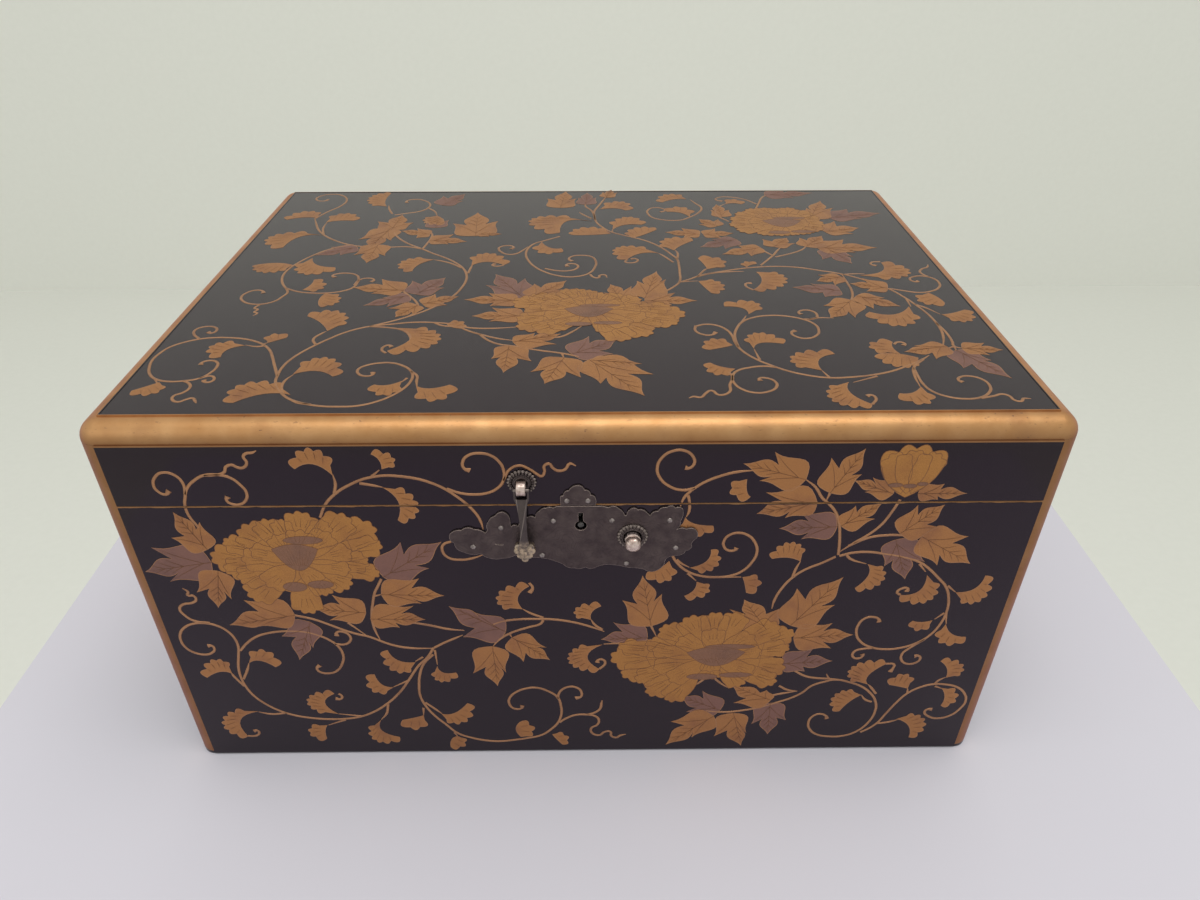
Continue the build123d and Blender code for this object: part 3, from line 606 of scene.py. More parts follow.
    ([(45.7, 123), (49.7, 118.5)], False),
    ([(-120, 46), (-118.6, 44), (-119.8, 42), (-122, 42.5)], True),
    ([(-171, 14.5), (-167.3, 14.6), (-165, 16.5), (-165.5, 18.8), (-167.3, 18.3)], True),
    ([(-24, 118), (-22.5, 115), (-24, 112)], True),
    ([(7, 62), (9.8, 66), (8.9, 68.3), (6.5, 68.3), (6, 66.5)], True),
    ([(144, 64), (148, 63.5), (148, 61), (147, 58.3)], True),
    ([(142, 109), (140.3, 110.7), (141.7, 112.7), (144.5, 113), (144.5, 111)], True),
]
front_fronds = [
    ((-100, 177), (-107, 182.7), (-114.6, 180.3), (-106, 189), 5),
    ((-80, 180), (-80.5, 184.5), (-83.3, 187.3), (-75, 185), 4),
    ((-81, 171), (-75.5, 163.5), (-77, 154), (-69, 162.5), 6),
    ((-158.5, 68), (-153, 69.8), (-146.5, 65.3), (-150, 76), 4),
    ((-168, 61), (-173.5, 62.3), (-180.5, 58.3), (-173.5, 70), 5),
    ((-161.7, 33.5), (-172, 27), (-171, 14.5), (-179.5, 27), 7),
    ((-80, 67.8), (-88, 69.3), (-92, 76.3), (-90, 62.5), 5),
    ((-92.7, 50.5), (-98, 52.5), (-100.5, 59.7), (-102.5, 48.5), 4),
    ((-122.5, 31), (-127.7, 39.5), (-122, 46), (-135.5, 40), 7),
    ((-129.5, 22.5), (-131.3, 18), (-131.5, 12), (-138.8, 18), 4),
    ((-102, 26.3), (-102.8, 18), (-94.5, 12.7), (-107.5, 12), 6),
    ((-80.5, 29.5), (-85, 27.8), (-91.5, 26), (-84.5, 20), 3),
    ((-71.5, 30.5), (-65, 31), (-58, 38.3), (-62, 24.5), 5),
    ((-65, 13), (-68.5, 10.5), (-69.5, 4.5), (-62.5, 7), 3),
    ((-33, 12), (-35.3, 18), (-33, 23.7), (-27.3, 17.5), 3),
    ((-17, 13.8), (-15, 10), (-12, 5.5), (-10.5, 12), 3),
    ((-70, 65), (-67.5, 60.5), (-61.5, 60.5), (-70, 55), 5),
    ((-27.5, 102), (-29.3, 109.5), (-24, 116), (-38, 109), 6),
    ((3.3, 95), (3.8, 100), (7.9, 103.5), (-3.5, 101), 5),
    ((8.5, 78.8), (1.4, 71), (7, 62), (-7, 70), 8),
    ((138, 49.5), (137, 56), (144, 64), (128, 60), 7),
    ((136, 41.8), (131, 37), (127, 29.8), (124, 42), 6),
    ((158, 46.3), (152, 48.2), (148.5, 49), (155, 56), 4),
    ((157, 23.5), (164, 18), (166, 8.8), (170, 22.5), 6),
    ((175, 54), (174, 60.5), (169.8, 65.5), (181, 61), 5),
    ((174.5, 46.5), (177.5, 40), (177, 33.5), (182.7, 40), 4),
    ((160, 93), (155, 91.9), (151, 92.8), (155, 87.3), 3),
    ((166.8, 90.5), (171, 84), (178, 82), (168, 79), 4),
    ((43, 154.5), (47, 151), (55, 149.8), (46, 146), 4),
    ((67, 174), (67.5, 168), (69.3, 165), (61.4, 168.5), 3),
    ((124, 127.7), (125.5, 121), (120.8, 113.5), (132, 119), 6),
    ((94.5, 129.5), (88.5, 131.7), (82, 131), (90, 139.5), 6),
    ((151.5, 121), (150, 111.5), (142, 109), (156, 107), 6),
    ((166.5, 110.5), (174.5, 112.5), (177.5, 120.4), (178, 105.5), 6),
    ((70, 120.5), (71.2, 117), (72.5, 111.2), (77.3, 118), 3),
    ((46.5, 126.3), (53.5, 130), (55, 136.5), (57, 127), 5),
    ((50, 118), (49, 113), (45, 109.5), (55, 112), 4),
    ((37.3, 130.3), (33, 126), (28, 124), (37, 119.5), 4),
]
front_gold_leaves = [
    ((-160, 138.5), (-169, 159), (-173.4, 145.2), (-159.4, 153.6)),
    ((-158.5, 126.5), (-163.8, 104.3), (-171, 113.8), (-156.6, 109.5)),
    ((-130.5, 99.3), (-161.5, 93.4), (-151.5, 109), (-148.7, 92.3)),
    ((-98.3, 100.4), (-121, 103.2), (-111.8, 111.8), (-115.5, 96)),
    ((-90, 111.6), (-62, 110.7), (-72, 121.2), (-72.6, 106)),
    ((-97, 96.5), (-72, 96), (-76.3, 104.7), (-84.3, 91)),
    ((-42.9, 78.3), (-42.2, 50.6), (-53.4, 59.8), (-37.5, 60.3)),
    ((-33.5, 83.9), (-16.3, 68.7), (-28.9, 67.5), (-17.7, 77.2)),
    ((30.8, 90.6), (26, 122), (17.3, 107), (35, 110.8)),
    ((97.3, 82), (125.1, 84), (114.2, 91.7), (116, 75)),
    ((91.7, 38.5), (71.7, 49.2), (73.5, 36.8), (88.9, 46)),
    ((64.4, 27), (41, 4.6), (43, 23), (54.1, 10.3)),
    ((74, 29.2), (80.2, 3.3), (65.6, 11.2), (82, 13.6)),
    ((91, 173.5), (64.7, 181.7), (76.8, 187.3), (72.1, 173.1)),
    ((101.8, 166.6), (112.8, 188.7), (99.7, 184.3), (113.3, 176)),
    ((97.3, 162), (72.6, 156), (75.4, 167.2), (84.8, 153.7)),
    ((109, 149), (124.5, 161.5), (113.5, 160), (122.7, 152.9)),
    ((134.8, 144.7), (150.6, 160.2), (139.4, 160.3), (151.2, 148)),
    ((144.5, 143), (169.1, 127.4), (164.5, 143), (154.7, 126.6)),
    ((95, 90.2), (114.7, 120.1), (95, 113.6), (113.5, 103.2)),
    ((84, 88), (72, 107), (66, 101), (88.5, 101)),
]
front_brown_leaves = [
    ((-160, 131.3), (-190, 126.2), (-183.4, 139.9), (-180.9, 120.3)),
    ((-87.5, 122), (-60, 142), (-77.5, 142), (-67, 127)),
    ((-124.5, 95), (-134.2, 70), (-139.3, 86), (-126.3, 78)),
    ((-36, 87.6), (-60.7, 104.2), (-50.3, 101), (-56, 84.5)),
    ((29.5, 83), (7.7, 82.2), (13.5, 93.2), (15.4, 79)),
    ((93.6, 64.5), (118, 66.4), (107.7, 75), (105.7, 59.2)),
    ((67.2, 31.3), (46.7, 42), (57.4, 46), (50.4, 30.4)),
    ((91.7, 36.5), (92.9, 12.2), (83.8, 20.6), (101.1, 23.4)),
    ((107.6, 148.7), (83, 148), (91.2, 156.6), (93.1, 142.1)),
    ((133.7, 141.5), (142.2, 118.5), (131.5, 126.3), (148.8, 128.8)),
]
front_peonies = [
    ((-123, 131), [
        (-159, 134, 15), (-155, 127, 12), (-152, 143, 10), (-143, 150, 16), (-134, 154, 12),
        (-126.5, 154.5, 9), (-116, 158, 14), (-107.5, 153.5, 9), (-98, 156, 14), (-88, 151, 15),
        (-86, 141, 11), (-93, 131, 12), (-89, 124, 9), (-103, 117, 13), (-113, 112.5, 12), (-124, 101, 14),
        (-147, 110, 15), (-150, 121, 13),
    ], (0, 1, 10, 6.5)),
    ((60, 70), [
        (18, 58, 12), (13, 70, 16), (16, 78, 9), (29, 80, 9), (36, 90, 12), (48, 96, 15), (60, 98.5, 13),
        (71, 98.5, 12), (89, 91, 14), (97, 86, 11), (96, 76, 10), (95, 60, 15), (92, 51, 11), (76, 50, 12),
        (60, 55, 12), (41, 39, 12), (31, 44, 13), (25, 54, 12),
    ], (2, -2, 14, 5)),
]
bud_petals = [
    ((133, 164), (133, 188.5), 27),
    ((131, 166), (125, 186), 12), ((135, 166), (141.5, 186), 12), ((133, 166), (133, 187), 14),
]
bud_calyx = [
    ((128, 166), (110.5, 173), (118, 174.5), (116, 167)),
    ((138, 166), (158.5, 166), (148, 171), (147, 162.8)),
]
front = {
    "stems": front_stems,
    "fronds": front_fronds,
    "gold_leaves": front_gold_leaves + bud_calyx,
    "brown_leaves": front_brown_leaves,
    "peonies": front_peonies,
    "petals": bud_petals,
    "ovals": [((128, 170.5), 3.2, 1.2), ((134, 170), 3, 1.2), ((139, 171), 2.4, 1.1)],
}


def graded(tree, tone, strength):
    """A colour made darker or lighter from place to place."""
    made = add_node(tree, "ShaderNodeVectorMath", {0: tone}, operation="SCALE")
    tree.links.new(strength, made.inputs["Scale"])
    return made.outputs[0]


def gold_powder(name, base, worn, metallic, roughness):
    """Metal powder under clear lacquer: a grain of dots, and patches where it is rubbed thin."""
    material, tree, shader = new_material(name, metallic, roughness, IOR=1.46)
    patches = ramp(tree, noise(tree, 70, 4, 0.6), 0.48, 0.75)
    grain = ramp(tree, noise(tree, 2600, 2, 0.7), 0.35, 0.65, 0.82, 1.12)
    feed(tree, shader, Base_Color=graded(tree, mix_color(tree, patches, base, worn), grain))
    return material


powders = [
    gold_powder("petal_gold", (0.43, 0.195, 0.056), (0.34, 0.145, 0.05), 0.65, 0.42),
    gold_powder("leaf_gold", (0.4, 0.178, 0.066), (0.3, 0.128, 0.06), 0.65, 0.42),
    gold_powder("leaf_brown", (0.22, 0.105, 0.083), (0.16, 0.08, 0.07), 0.45, 0.45),
    gold_powder("line_gold", (0.42, 0.21, 0.105), (0.3, 0.145, 0.08), 0.65, 0.4),
    gold_powder("core_brown", (0.24, 0.115, 0.07), (0.18, 0.09, 0.065), 0.45, 0.45),
    gold_powder("line_brown", (0.2, 0.085, 0.038), (0.15, 0.065, 0.036), 0.4, 0.5),
]
PETAL, LEAF, BROWN, LINE, CORE, DARK = range(6)


def open_mesh(piece):
    """Picks one piece and opens its mesh with everything in it selected."""
    pick(piece)
    bpy.ops.object.mode_set(mode="EDIT")
    bpy.ops.mesh.select_all(action="SELECT")


def raised_lines(name, lines, half, height, base=0.0):
    """Half-round lines along points in the plane, tapered at their free ends, as one mesh."""
    curve = bpy.data.curves.new(name, "CURVE")
    curve.dimensions = "3D"
    curve.bevel_depth = MM
    curve.bevel_resolution = 1
    curve.use_fill_caps = True
    curve.resolution_u = 4
    for points, ball in lines:
        spline = curve.splines.new("BEZIER")
        spline.bezier_points.add(len(points) - 1)
        for knot, (x, y) in zip(spline.bezier_points, points):
            knot.co = (x * MM, y * MM, 0)
            knot.handle_left_type = knot.handle_right_type = "AUTO"
            knot.radius = half
        spline.bezier_points[-1].radius = BALL if ball else STEM_TAPER * half
    drawn = bpy.data.objects.new(name, curve)
    bpy.context.scene.collection.objects.link(drawn)
    pick(drawn)
    bpy.ops.object.convert(target="MESH")
    flatten = Matrix.Translation((0, 0, base * MM)) @ Matrix.Diagonal((1, 1, height / half, 1))
    drawn.data.transform(flatten)
    return drawn


def cut_level(thing, level, keep_above, filled):
    """Cuts a flat drawing along the parting and keeps one side."""
    open_mesh(thing)
    bpy.ops.mesh.bisect(
        plane_co=(0, level * MM, 0), plane_no=(0, 1, 0), use_fill=filled,
        clear_inner=keep_above, clear_outer=not keep_above, threshold=1e-6,
    )
    bpy.ops.object.mode_set(mode="OBJECT")


def raised_plates(name, outlines, height, fill, rim, cut):
    """Thin plates of one height with those outlines, each with a fine line left standing round its edge."""
    shape = bpy.data.meshes.new(name)
    corners = []
    faces = []
    for outline in outlines:
        faces.append(range(len(corners), len(corners) + len(outline)))
        corners += [(x * MM, y * MM, 0) for x, y in outline]
    shape.from_pydata(corners, [], faces)
    plates = bpy.data.objects.new(name, shape)
    bpy.context.scene.collection.objects.link(plates)
    for powder in powders:
        shape.materials.append(powder)
    if cut:
        cut_level(plates, *cut, False)
    open_mesh(plates)
    plates.active_material_index = rim
    bpy.ops.object.material_slot_assign()
    bpy.ops.mesh.extrude_region_move(TRANSFORM_OT_translate={"value": (0, 0, height * MM)})
    bpy.ops.mesh.inset(thickness=EDGE * MM, depth=-EDGE_RISE * MM, use_individual=True, use_even_offset=False)
    plates.active_material_index = fill
    bpy.ops.object.material_slot_assign()
    bpy.ops.mesh.select_all(action="SELECT")
    bpy.ops.mesh.normals_make_consistent(inside=False)
    bpy.ops.object.mode_set(mode="OBJECT")
    return plates


STEM_HEIGHT = 0.1
VEIN_HALF, VEIN_HEIGHT, VEIN_BASE = 0.11, 0.035, 0.155
BROWN_LEAF_HEIGHT, FROND_HEIGHT = 0.1, 0.108
GOLD_LEAF_HEIGHT, LEAF_STEP, LEAF_LEVELS = 0.113, 0.004, 3
BED_HEIGHT, CORE_HEIGHT, CUP_HEIGHT = 0.125, 0.186, 0.19
OUTER_PETAL_HEIGHT, INNER_PETAL_HEIGHT = 0.13, 0.158
PETAL_STEP, PETAL_LEVELS = 0.003, 9


def add_makie(name, art, place, body, cut=None):
    """The pattern of one board, laid on its face, riding the body. What overlaps lies at different heights."""
    layers = {"bed": [], "outer": [], "inner": [], "cup": [], "core": [], "veins": []}
    for flower in art["peonies"]:
        for layer, outlines in peony(*flower).items():
            layers[layer] += outlines
    layers["inner"] += [petal_outline(*petal) for petal in art["petals"]]
    layers["core"] += [round_outline(*oval) for oval in art["ovals"]]
    for leaf in art["gold_leaves"] + art["brown_leaves"]:
        layers["veins"] += leaf_veins(*leaf)
    for frond in art["fronds"]:
        layers["veins"] += frond_veins(*frond)
    plan = [
        ([leaf_outline(*leaf) for leaf in art["brown_leaves"]], BROWN_LEAF_HEIGHT, BROWN, LINE),
        ([frond_outline(*frond) for frond in art["fronds"]], FROND_HEIGHT, LEAF, LINE),
        (layers["bed"], BED_HEIGHT, PETAL, DARK),
        (layers["cup"], CUP_HEIGHT, CORE, DARK),
        (layers["core"], CORE_HEIGHT, CORE, DARK),
    ]
    for level in range(LEAF_LEVELS):
        leaves = [leaf_outline(*leaf) for leaf in art["gold_leaves"][level::LEAF_LEVELS]]
        plan.append((leaves, GOLD_LEAF_HEIGHT + LEAF_STEP * level, LEAF, LINE))
    for level in range(PETAL_LEVELS):
        for layer, height in (("outer", OUTER_PETAL_HEIGHT), ("inner", INNER_PETAL_HEIGHT)):
            plan.append((layers[layer][level::PETAL_LEVELS], height + PETAL_STEP * level, PETAL, DARK))
    stems = raised_lines(name, art["stems"], STEM_HALF, STEM_HEIGHT)
    stems.data.materials.clear()
    veins = [(vein, False) for vein in layers["veins"]]
    veins = raised_lines(f"{name}_veins", veins, VEIN_HALF, VEIN_HEIGHT, VEIN_BASE)
    for drawn, powder_index in ((stems, LINE), (veins, DARK)):
        for powder in powders:
            drawn.data.materials.append(powder)
        for face in drawn.data.polygons:
            face.material_index = powder_index
        if cut:
            cut_level(drawn, *cut, True)
    made = [stems, veins]
    for i, (outlines, height, fill, rim) in enumerate(plan):
        if outlines:
            made.append(raised_plates(f"{name}_{i}", outlines, height, fill, rim, cut))
    pick(*made)
    bpy.ops.object.join()
    stems.name = name
    stems.data.transform(place)
    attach(stems, body)


FRONT_CLEAR = 0.6
on_front = Matrix(((1, 0, 0, 0), (0, 0, -1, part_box("body_front")[0].y), (0, 1, 0, 0), (0, 0, 0, 1)))
add_makie("makie_front_box", front, on_front, "box", (PARTING / MM - FRONT_CLEAR, False))
add_makie("makie_front_lid", front, on_front, "lid", (PARTING / MM + FRONT_CLEAR, True))


# The maki-e of the lid's top: a peony near the middle with trailing leaves, a second one at the back right, and
# vines that scroll to the edges. Made as on the front, in the shallow bed of the top field, with its points in
# millimetres from the middle of the lid.
top_stems = [
    ([(-60, -59.2), (-70, -57.3), (-80, -56.9), (-89.2, -58.6), (-100, -61.1), (-105.2, -63.7),
      (-110.3, -67.5), (-115.5, -73.3), (-120.3, -79.7), (-124.4, -86.1), (-127.6, -93.1), (-129.3, -100.8),
      (-129.2, -107.2), (-128.3, -113.6), (-123.1, -122.6), (-118, -127.7), (-111.6, -130.9),
      (-105.2, -132.8), (-97.5, -133.4), (-89.8, -132.8), (-82.8, -129.6), (-77.7, -125.1), (-73.8, -119.4),
      (-71.9, -113.6), (-71.9, -107.8), (-73.8, -103.4), (-77.7, -99.5), (-82.8, -97), (-87.9, -97),
      (-93, -98.9), (-96, -102.1), (-95.6, -105.9), (-92.4, -108.5), (-89.2, -107.8),
      (-89.2, -105.3)], True),
    ([(-129.2, -108), (-133.4, -98.2), (-136.6, -90.6), (-139.8, -84.2), (-144.3, -79), (-150, -75.2),
      (-156.4, -72.9), (-162.9, -72), (-169.3, -72), (-175, -73.3), (-180.8, -76.5), (-185.3, -81),
      (-187.4, -86.7), (-188.1, -93.1), (-186.8, -99.5), (-184, -105.9), (-179.5, -110.4), (-173.7, -112.3),
      (-167.3, -111.9), (-161.6, -109.8), (-158.4, -104.6), (-157.7, -99.5), (-159, -95.7), (-162.2, -94),
      (-165.4, -95.4), (-165.4, -98)], True),
    ([(-175, -73.3), (-179.8, -67.5), (-180.1, -63), (-176.9, -60.5), (-172.5, -61.1), (-170.3, -64.3),
      (-171.6, -67.3), (-173.7, -66.2)], True),
    ([(-161.6, -109.8), (-157.7, -107.8), (-155.2, -109.8), (-155.6, -112.6), (-158, -113),
      (-159, -111.4)], True),
    ([(-167.3, -112), (-164.1, -114.2), (-162.5, -118.1), (-164.1, -121.9), (-166.4, -123.8), (-166.1, -127),
      (-162.9, -129), (-160.3, -127), (-158.4, -126.1), (-156.4, -128.3), (-155.2, -130.2)], False),
    ([(-180, -110), (-177.5, -114)], False),
    ([(-143, -80), (-146, -81), (-152, -79.5)], False),
    ([(-144.5, -79), (-142.5, -77)], False),
    ([(-109, -131.5), (-115, -130), (-120.6, -125.1)], False),
    ([(-120.3, -79.7), (-122.9, -73.9), (-120.6, -68.2), (-119, -66)], False),
    ([(-122, -123.5), (-124.3, -118.7), (-124.8, -112.3), (-122.7, -107)], False),
    ([(-100, -61.1), (-91.1, -62.4), (-84.1, -65), (-79.6, -70.7), (-78.3, -76.5)], False),
    ([(-87, -88), (-89.5, -85), (-88.8, -81), (-87.3, -80.3), (-85.6, -82.2)], True),
    ([(-73.8, -110.4), (-75.5, -114)], False),
    ([(-73.2, -104.6), (-70, -108.5), (-69.3, -113.6), (-68.5, -117.5)], False),
    ([(-100, -61.1), (-89.2, -54.7), (-80.9, -48.3), (-74.5, -41.9), (-68.5, -34), (-64.9, -26.6),
      (-62.3, -17.6), (-61, -7.4), (-61.7, 0.3), (-64.2, 8), (-69.3, 16.3), (-75.8, 23.4), (-84.7, 31),
      (-91.1, 37.3), (-97.3, 42.5), (-102.9, 48.4), (-107.6, 54.9), (-111.3, 62.4), (-114.1, 69.9)], False),
    ([(-90.8, 37.2), (-89.4, 45.6), (-88.5, 53), (-88.9, 60.5), (-92.7, 68)], False),
    ([(-91, 37), (-100, 40.5), (-110, 40), (-120, 40.5), (-127, 41.5), (-132.8, 43.7), (-140.3, 48.4),
      (-146.8, 54), (-152.4, 60.5), (-157.1, 68), (-160.8, 77.3), (-164.5, 87.6)], False),
    ([(-152.4, 61), (-155.2, 70.8), (-155.5, 81.1)], False),
    ([(-132, 43.5), (-142, 38), (-150, 28), (-155.8, 15.7), (-157.7, 9.3), (-158.4, 1.6), (-157.1, -6.1),
      (-154.5, -12.5), (-150.7, -18.9), (-149.6, -23), (-150.7, -26.6), (-152.6, -31.7), (-157.7, -35.5),
      (-163.5, -35.5), (-168.6, -32.3), (-171.2, -27.2), (-170.3, -22.1), (-166.7, -18.9), (-162.9, -19.9),
      (-161.6, -22.7)], True),
    ([(-159, -36), (-160.3, -40.6), (-158.4, -41.9), (-159, -45.1), (-157.4, -46), (-158.4, -49)], False),
    ([(-152, -16.5), (-144.9, -20.8), (-137.2, -22.7), (-129.6, -22.7), (-121.9, -20.2), (-118, -16.3),
      (-117, -10), (-117.4, -4.8), (-119.9, 0.3), (-124.4, 2.6), (-129.6, 2.2), (-132.1, -0.3),
      (-130.3, -2.8)], True),
    ([(-118, -13), (-116.1, -5.4), (-111.6, -4.2), (-109.1, -6.7), (-110.3, -9)], True),
    ([(-91.8, -20.2), (-87.3, -26.6), (-82.8, -33.6), (-80.9, -39.4), (-81.5, -47), (-88.6, -54.7)], False),
    ([(-65.5, 9.3), (-71.9, 15.7), (-78.3, 19.5), (-82, 21)], False),
    ([(-70, -57.5), (-66.2, -60.5), (-57.2, -61.8), (-50.8, -63.4), (-41.8, -63.7), (-30, -62.4)], False),
    ([(-58, -62), (-52.1, -66.9), (-46.9, -70), (-39.3, -73.9), (-30.9, -76.5)], False),
    ([(-47.5, -69.6), (-43.1, -75.8), (-38, -79.7), (-31.6, -81.6), (-26.4, -83.5), (-18.8, -86.1),
      (-9.8, -88.6), (-3.4, -91.2), (3, -95)], False),
    ([(-9, -88.8), (-7.9, -93.8)], False),
    ([(-14, -73.5), (-9.8, -72.6), (-5, -68), (0.5, -60.5)], False),
    ([(-14, 55.9), (-22.4, 49.3), (-28, 44.7), (-31, 38.1), (-32, 28.9), (-29.7, 18.2), (-25.8, 9.9),
      (-20.7, 3.6), (-14.9, -1), (-7.2, -3.5), (-0.2, -1.6), (3.7, 2.2), (6.2, 9.3), (6.9, 17), (4.3, 24.6),
      (-0.8, 26.6), (-6, 25.3), (-7.9, 20.8), (-6, 18)], True),
    ([(-20.5, 8), (-14, 5), (-7, 5), (-3.5, 8), (-3, 12), (-5.5, 14.5), (-9, 13.5), (-8.5, 10.5)], True),
    ([(3.7, -0.3), (5.6, -4.2), (8.1, -4.8), (8.8, -1.6), (11.3, -1), (12.6, -4.8)], False),
    ([(30, -30), (36, -27), (42.1, -22.1), (46.5, -17), (50, -11), (51.3, 1.6), (51.7, 11.8), (51.4, 20.8),
      (49, 27), (44.8, 36.3), (39.2, 44.7), (33.6, 50.3), (24, 57), (15.9, 63.3), (10.3, 72.7), (7.6, 80),
      (6.5, 90), (6.5, 99.7), (9.3, 110), (12.1, 120.3), (15, 130)], False),
    ([(51.4, 20), (52.5, 29), (51.5, 34)], False),
    ([(50, -11), (55.5, -7.4), (61.9, -2.2), (70, 1.6), (77.9, 4.5), (85.6, 7), (98.4, 9.3), (108.7, 9.3),
      (117.6, 7.4), (126.6, 3.5), (134.3, 0.3), (142, -4.8), (149.7, -12.5), (156.7, -21.4), (160.6, -29.8),
      (163.8, -39.4), (166.1, -48.3), (167.3, -57.3), (167.3, -66.2), (165.7, -75.2),
      (162.5, -84.2)], False),
    ([(51, -10.5), (60, -9.5)], False),
    ([(49.1, 15.7), (44, 25.9), (42, 29)], False),
    ([(24, 20), (23, 16.5), (26.5, 15.5), (29.8, 18.5), (28.3, 21.5), (26, 21)], True),
    ([(-61, 2), (-60.4, 9.9), (-60, 13)], False),
    ([(-43, 13), (-46, 11.5), (-49, 12.5), (-48, 15)], True),
    ([(60, -4), (67.7, 0.3), (78, 2.5), (85.6, 2.9)], False),
    ([(87, -21.5), (84, -17), (84.5, -13), (87.3, -12.5)], True),
    ([(95.9, 11), (102.3, 20.8), (105.5, 25.9), (108.7, 32.3), (112, 38)], False),
    ([(105, 25), (101, 32.3), (99, 37)], False),
    ([(106, 23), (115.1, 27.8), (122.8, 33.6), (127, 40)], False),
    ([(60, -4.5), (65.1, 5.4), (66.5, 7)], False),
    ([(136, -2), (143, -1), (149, -1)], False),
    ([(162, 15.5), (157.5, 15), (156, 12), (158.5, 10)], True),
    ([(156.7, -20.2), (162.5, -22.7), (170.2, -25.3), (176.6, -24), (182.3, -19.5), (184.5, -13.8),
      (183.6, -8), (179.1, -4.4), (174, -5.1), (170.8, -8.6), (172.7, -11.8), (174.5, -11)], True),
    ([(182, -6), (179.1, 0.3), (181.7, 5.4), (184.9, 7.4), (186.8, 11.2)], False),
    ([(163.8, -39.4), (167.6, -43.2), (172.5, -51)], False),
    ([(161.5, -33), (161, -42)], False),
    ([(167.3, -60), (168.6, -70), (168.2, -80), (167.6, -84.2), (170.8, -86.1)], False),
    ([(167.6, -84.2), (162.5, -86.7)], False),
    ([(167.6, -84.2), (167, -88)], False),
    ([(53.2, -62), (52.7, -67.5), (56.2, -71.4), (60, -71.4), (61.9, -68.8)], True),
    ([(53.2, -62.5), (58.1, -60.5), (63.2, -61.8), (67.1, -66.2), (69, -72.6), (69.4, -79), (71.3, -87),
      (76.7, -95.7), (81.8, -100.8), (88.2, -105.9), (95.9, -109.8), (104.8, -112.1), (113.8, -111.7),
      (124, -109.8), (133, -106.6), (140.7, -102.1), (148.4, -97), (153.5, -92.5)], False),
    ([(70.2, -84), (70.2, -72.6), (72.2, -65), (76, -57.9), (81.8, -53.4), (89.5, -51.3), (97.1, -51.9),
      (104.8, -55.4), (109.3, -60.5), (110.2, -66.9), (108, -72.6), (102.9, -75.6), (98.4, -73.9),
      (96.9, -69.8), (99.1, -67.5)], True),
    ([(75.4, -58.6), (78.6, -51.5)], False),
    ([(105, -55.5), (111.2, -54.7), (112.9, -50.9), (111.2, -46.4), (107.4, -45.5), (104.6, -48.1),
      (105.5, -50.2)], True),
    ([(107.4, -56), (112.5, -54.1), (120.2, -54.5)], False),
    ([(133.7, -34.2), (135.6, -29.1), (136.9, -21.4), (136.9, -11.2), (136.9, -2)], False),
    ([(83.7, -102.7), (79.2, -101.7), (72.8, -102.7), (66.4, -105.9), (63.8, -111), (63.8, -116.2),
      (66.4, -121.3), (71.5, -124.2), (77.3, -123.2), (81.1, -119.4), (81.1, -114.9), (78.6, -112.3),
      (75.1, -112.3), (75.1, -114.5)], True),
    ([(62.8, -107), (63.9, -111), (61.9, -117.4), (60.7, -123.8), (56.2, -125.8), (53.6, -122.3),
      (51, -124.5), (48.5, -127.7), (45.9, -127), (43.7, -128.3)], False),
    ([(72, -88.5), (69.5, -83)], False),
    ([(125.3, -111), (113.8, -116.2)], False),
    ([(117, -134), (119.8, -129), (118.5, -126.5), (116.5, -127.5)], True),
    ([(149.7, -96.3), (143.3, -103.4), (141.3, -111), (140.7, -120)], False),
    ([(143, -104), (142.6, -111), (142.6, -117.4), (144.5, -123.8), (149.7, -128.3), (156.1, -130),
      (162.5, -129), (167.6, -125.1), (169.9, -120), (168.9, -114.2), (165, -111.4), (160.6, -111.9),
      (158.6, -114.6), (159.9, -116.5)], True),
    ([(162.5, -129.6), (168.9, -127.7), (172.7, -126.4), (174.9, -128.3), (175.3, -130.9), (177.8, -132.2),
      (179.8, -130), (182.7, -130.2)], False),
    ([(104.8, -111.8), (103, -106)], False),
    ([(77.9, -96), (77, -86)], False),
    ([(141, -82), (143.3, -79.7), (146.1, -81), (144.8, -83)], True),
    ([(-47, 33.5), (-42.9, 28.8), (-38.3, 28.8), (-34.5, 33.5), (-31.5, 40)], False),
    ([(-47, 33), (-47.5, 39.1), (-42.9, 41.8), (-39.5, 39.1), (-41, 36.5)], True),
    ([(4.7, 86), (-0.9, 94.1), (-3, 98)], False),
    ([(7, 84), (4.7, 100.7), (0.9, 109), (1, 114)], False),
    ([(16.8, 61.5), (17, 67)], False),
    ([(50.4, 82.5), (58.8, 82.9), (64.4, 87.6), (70, 94.1), (74, 105.3), (71.2, 113.7),
      (68.4, 121.2)], False),
    ([(50.4, 82.5), (42.9, 86.7), (39.7, 94.1), (40.1, 101.6), (44, 106), (49, 104.5), (50.5, 100),
      (47.5, 98)], True),
    ([(-118.8, 96), (-122.5, 105.3), (-124, 112)], False),
    ([(-117, 94), (-110, 97), (-102, 101), (-98.3, 107), (-98.3, 114.7), (-102.9, 121.2), (-109, 124),
      (-114, 121), (-113.5, 117)], True),
    ([(-98.3, 107), (-93, 100), (-90.5, 92)], False),
    ([(-164.5, 87.6), (-160, 100), (-154, 112), (-153, 122), (-157, 131), (-165, 135), (-172, 131),
      (-173, 124), (-168, 121), (-165, 124)], True),
    ([(88, 80), (82, 92), (84, 105), (90, 113)], False),
    ([(108, 103), (112, 115), (116, 126), (122, 133)], False),
    ([(110, 112), (104, 121), (96, 126), (88, 126), (85, 121), (89, 118)], True),
]
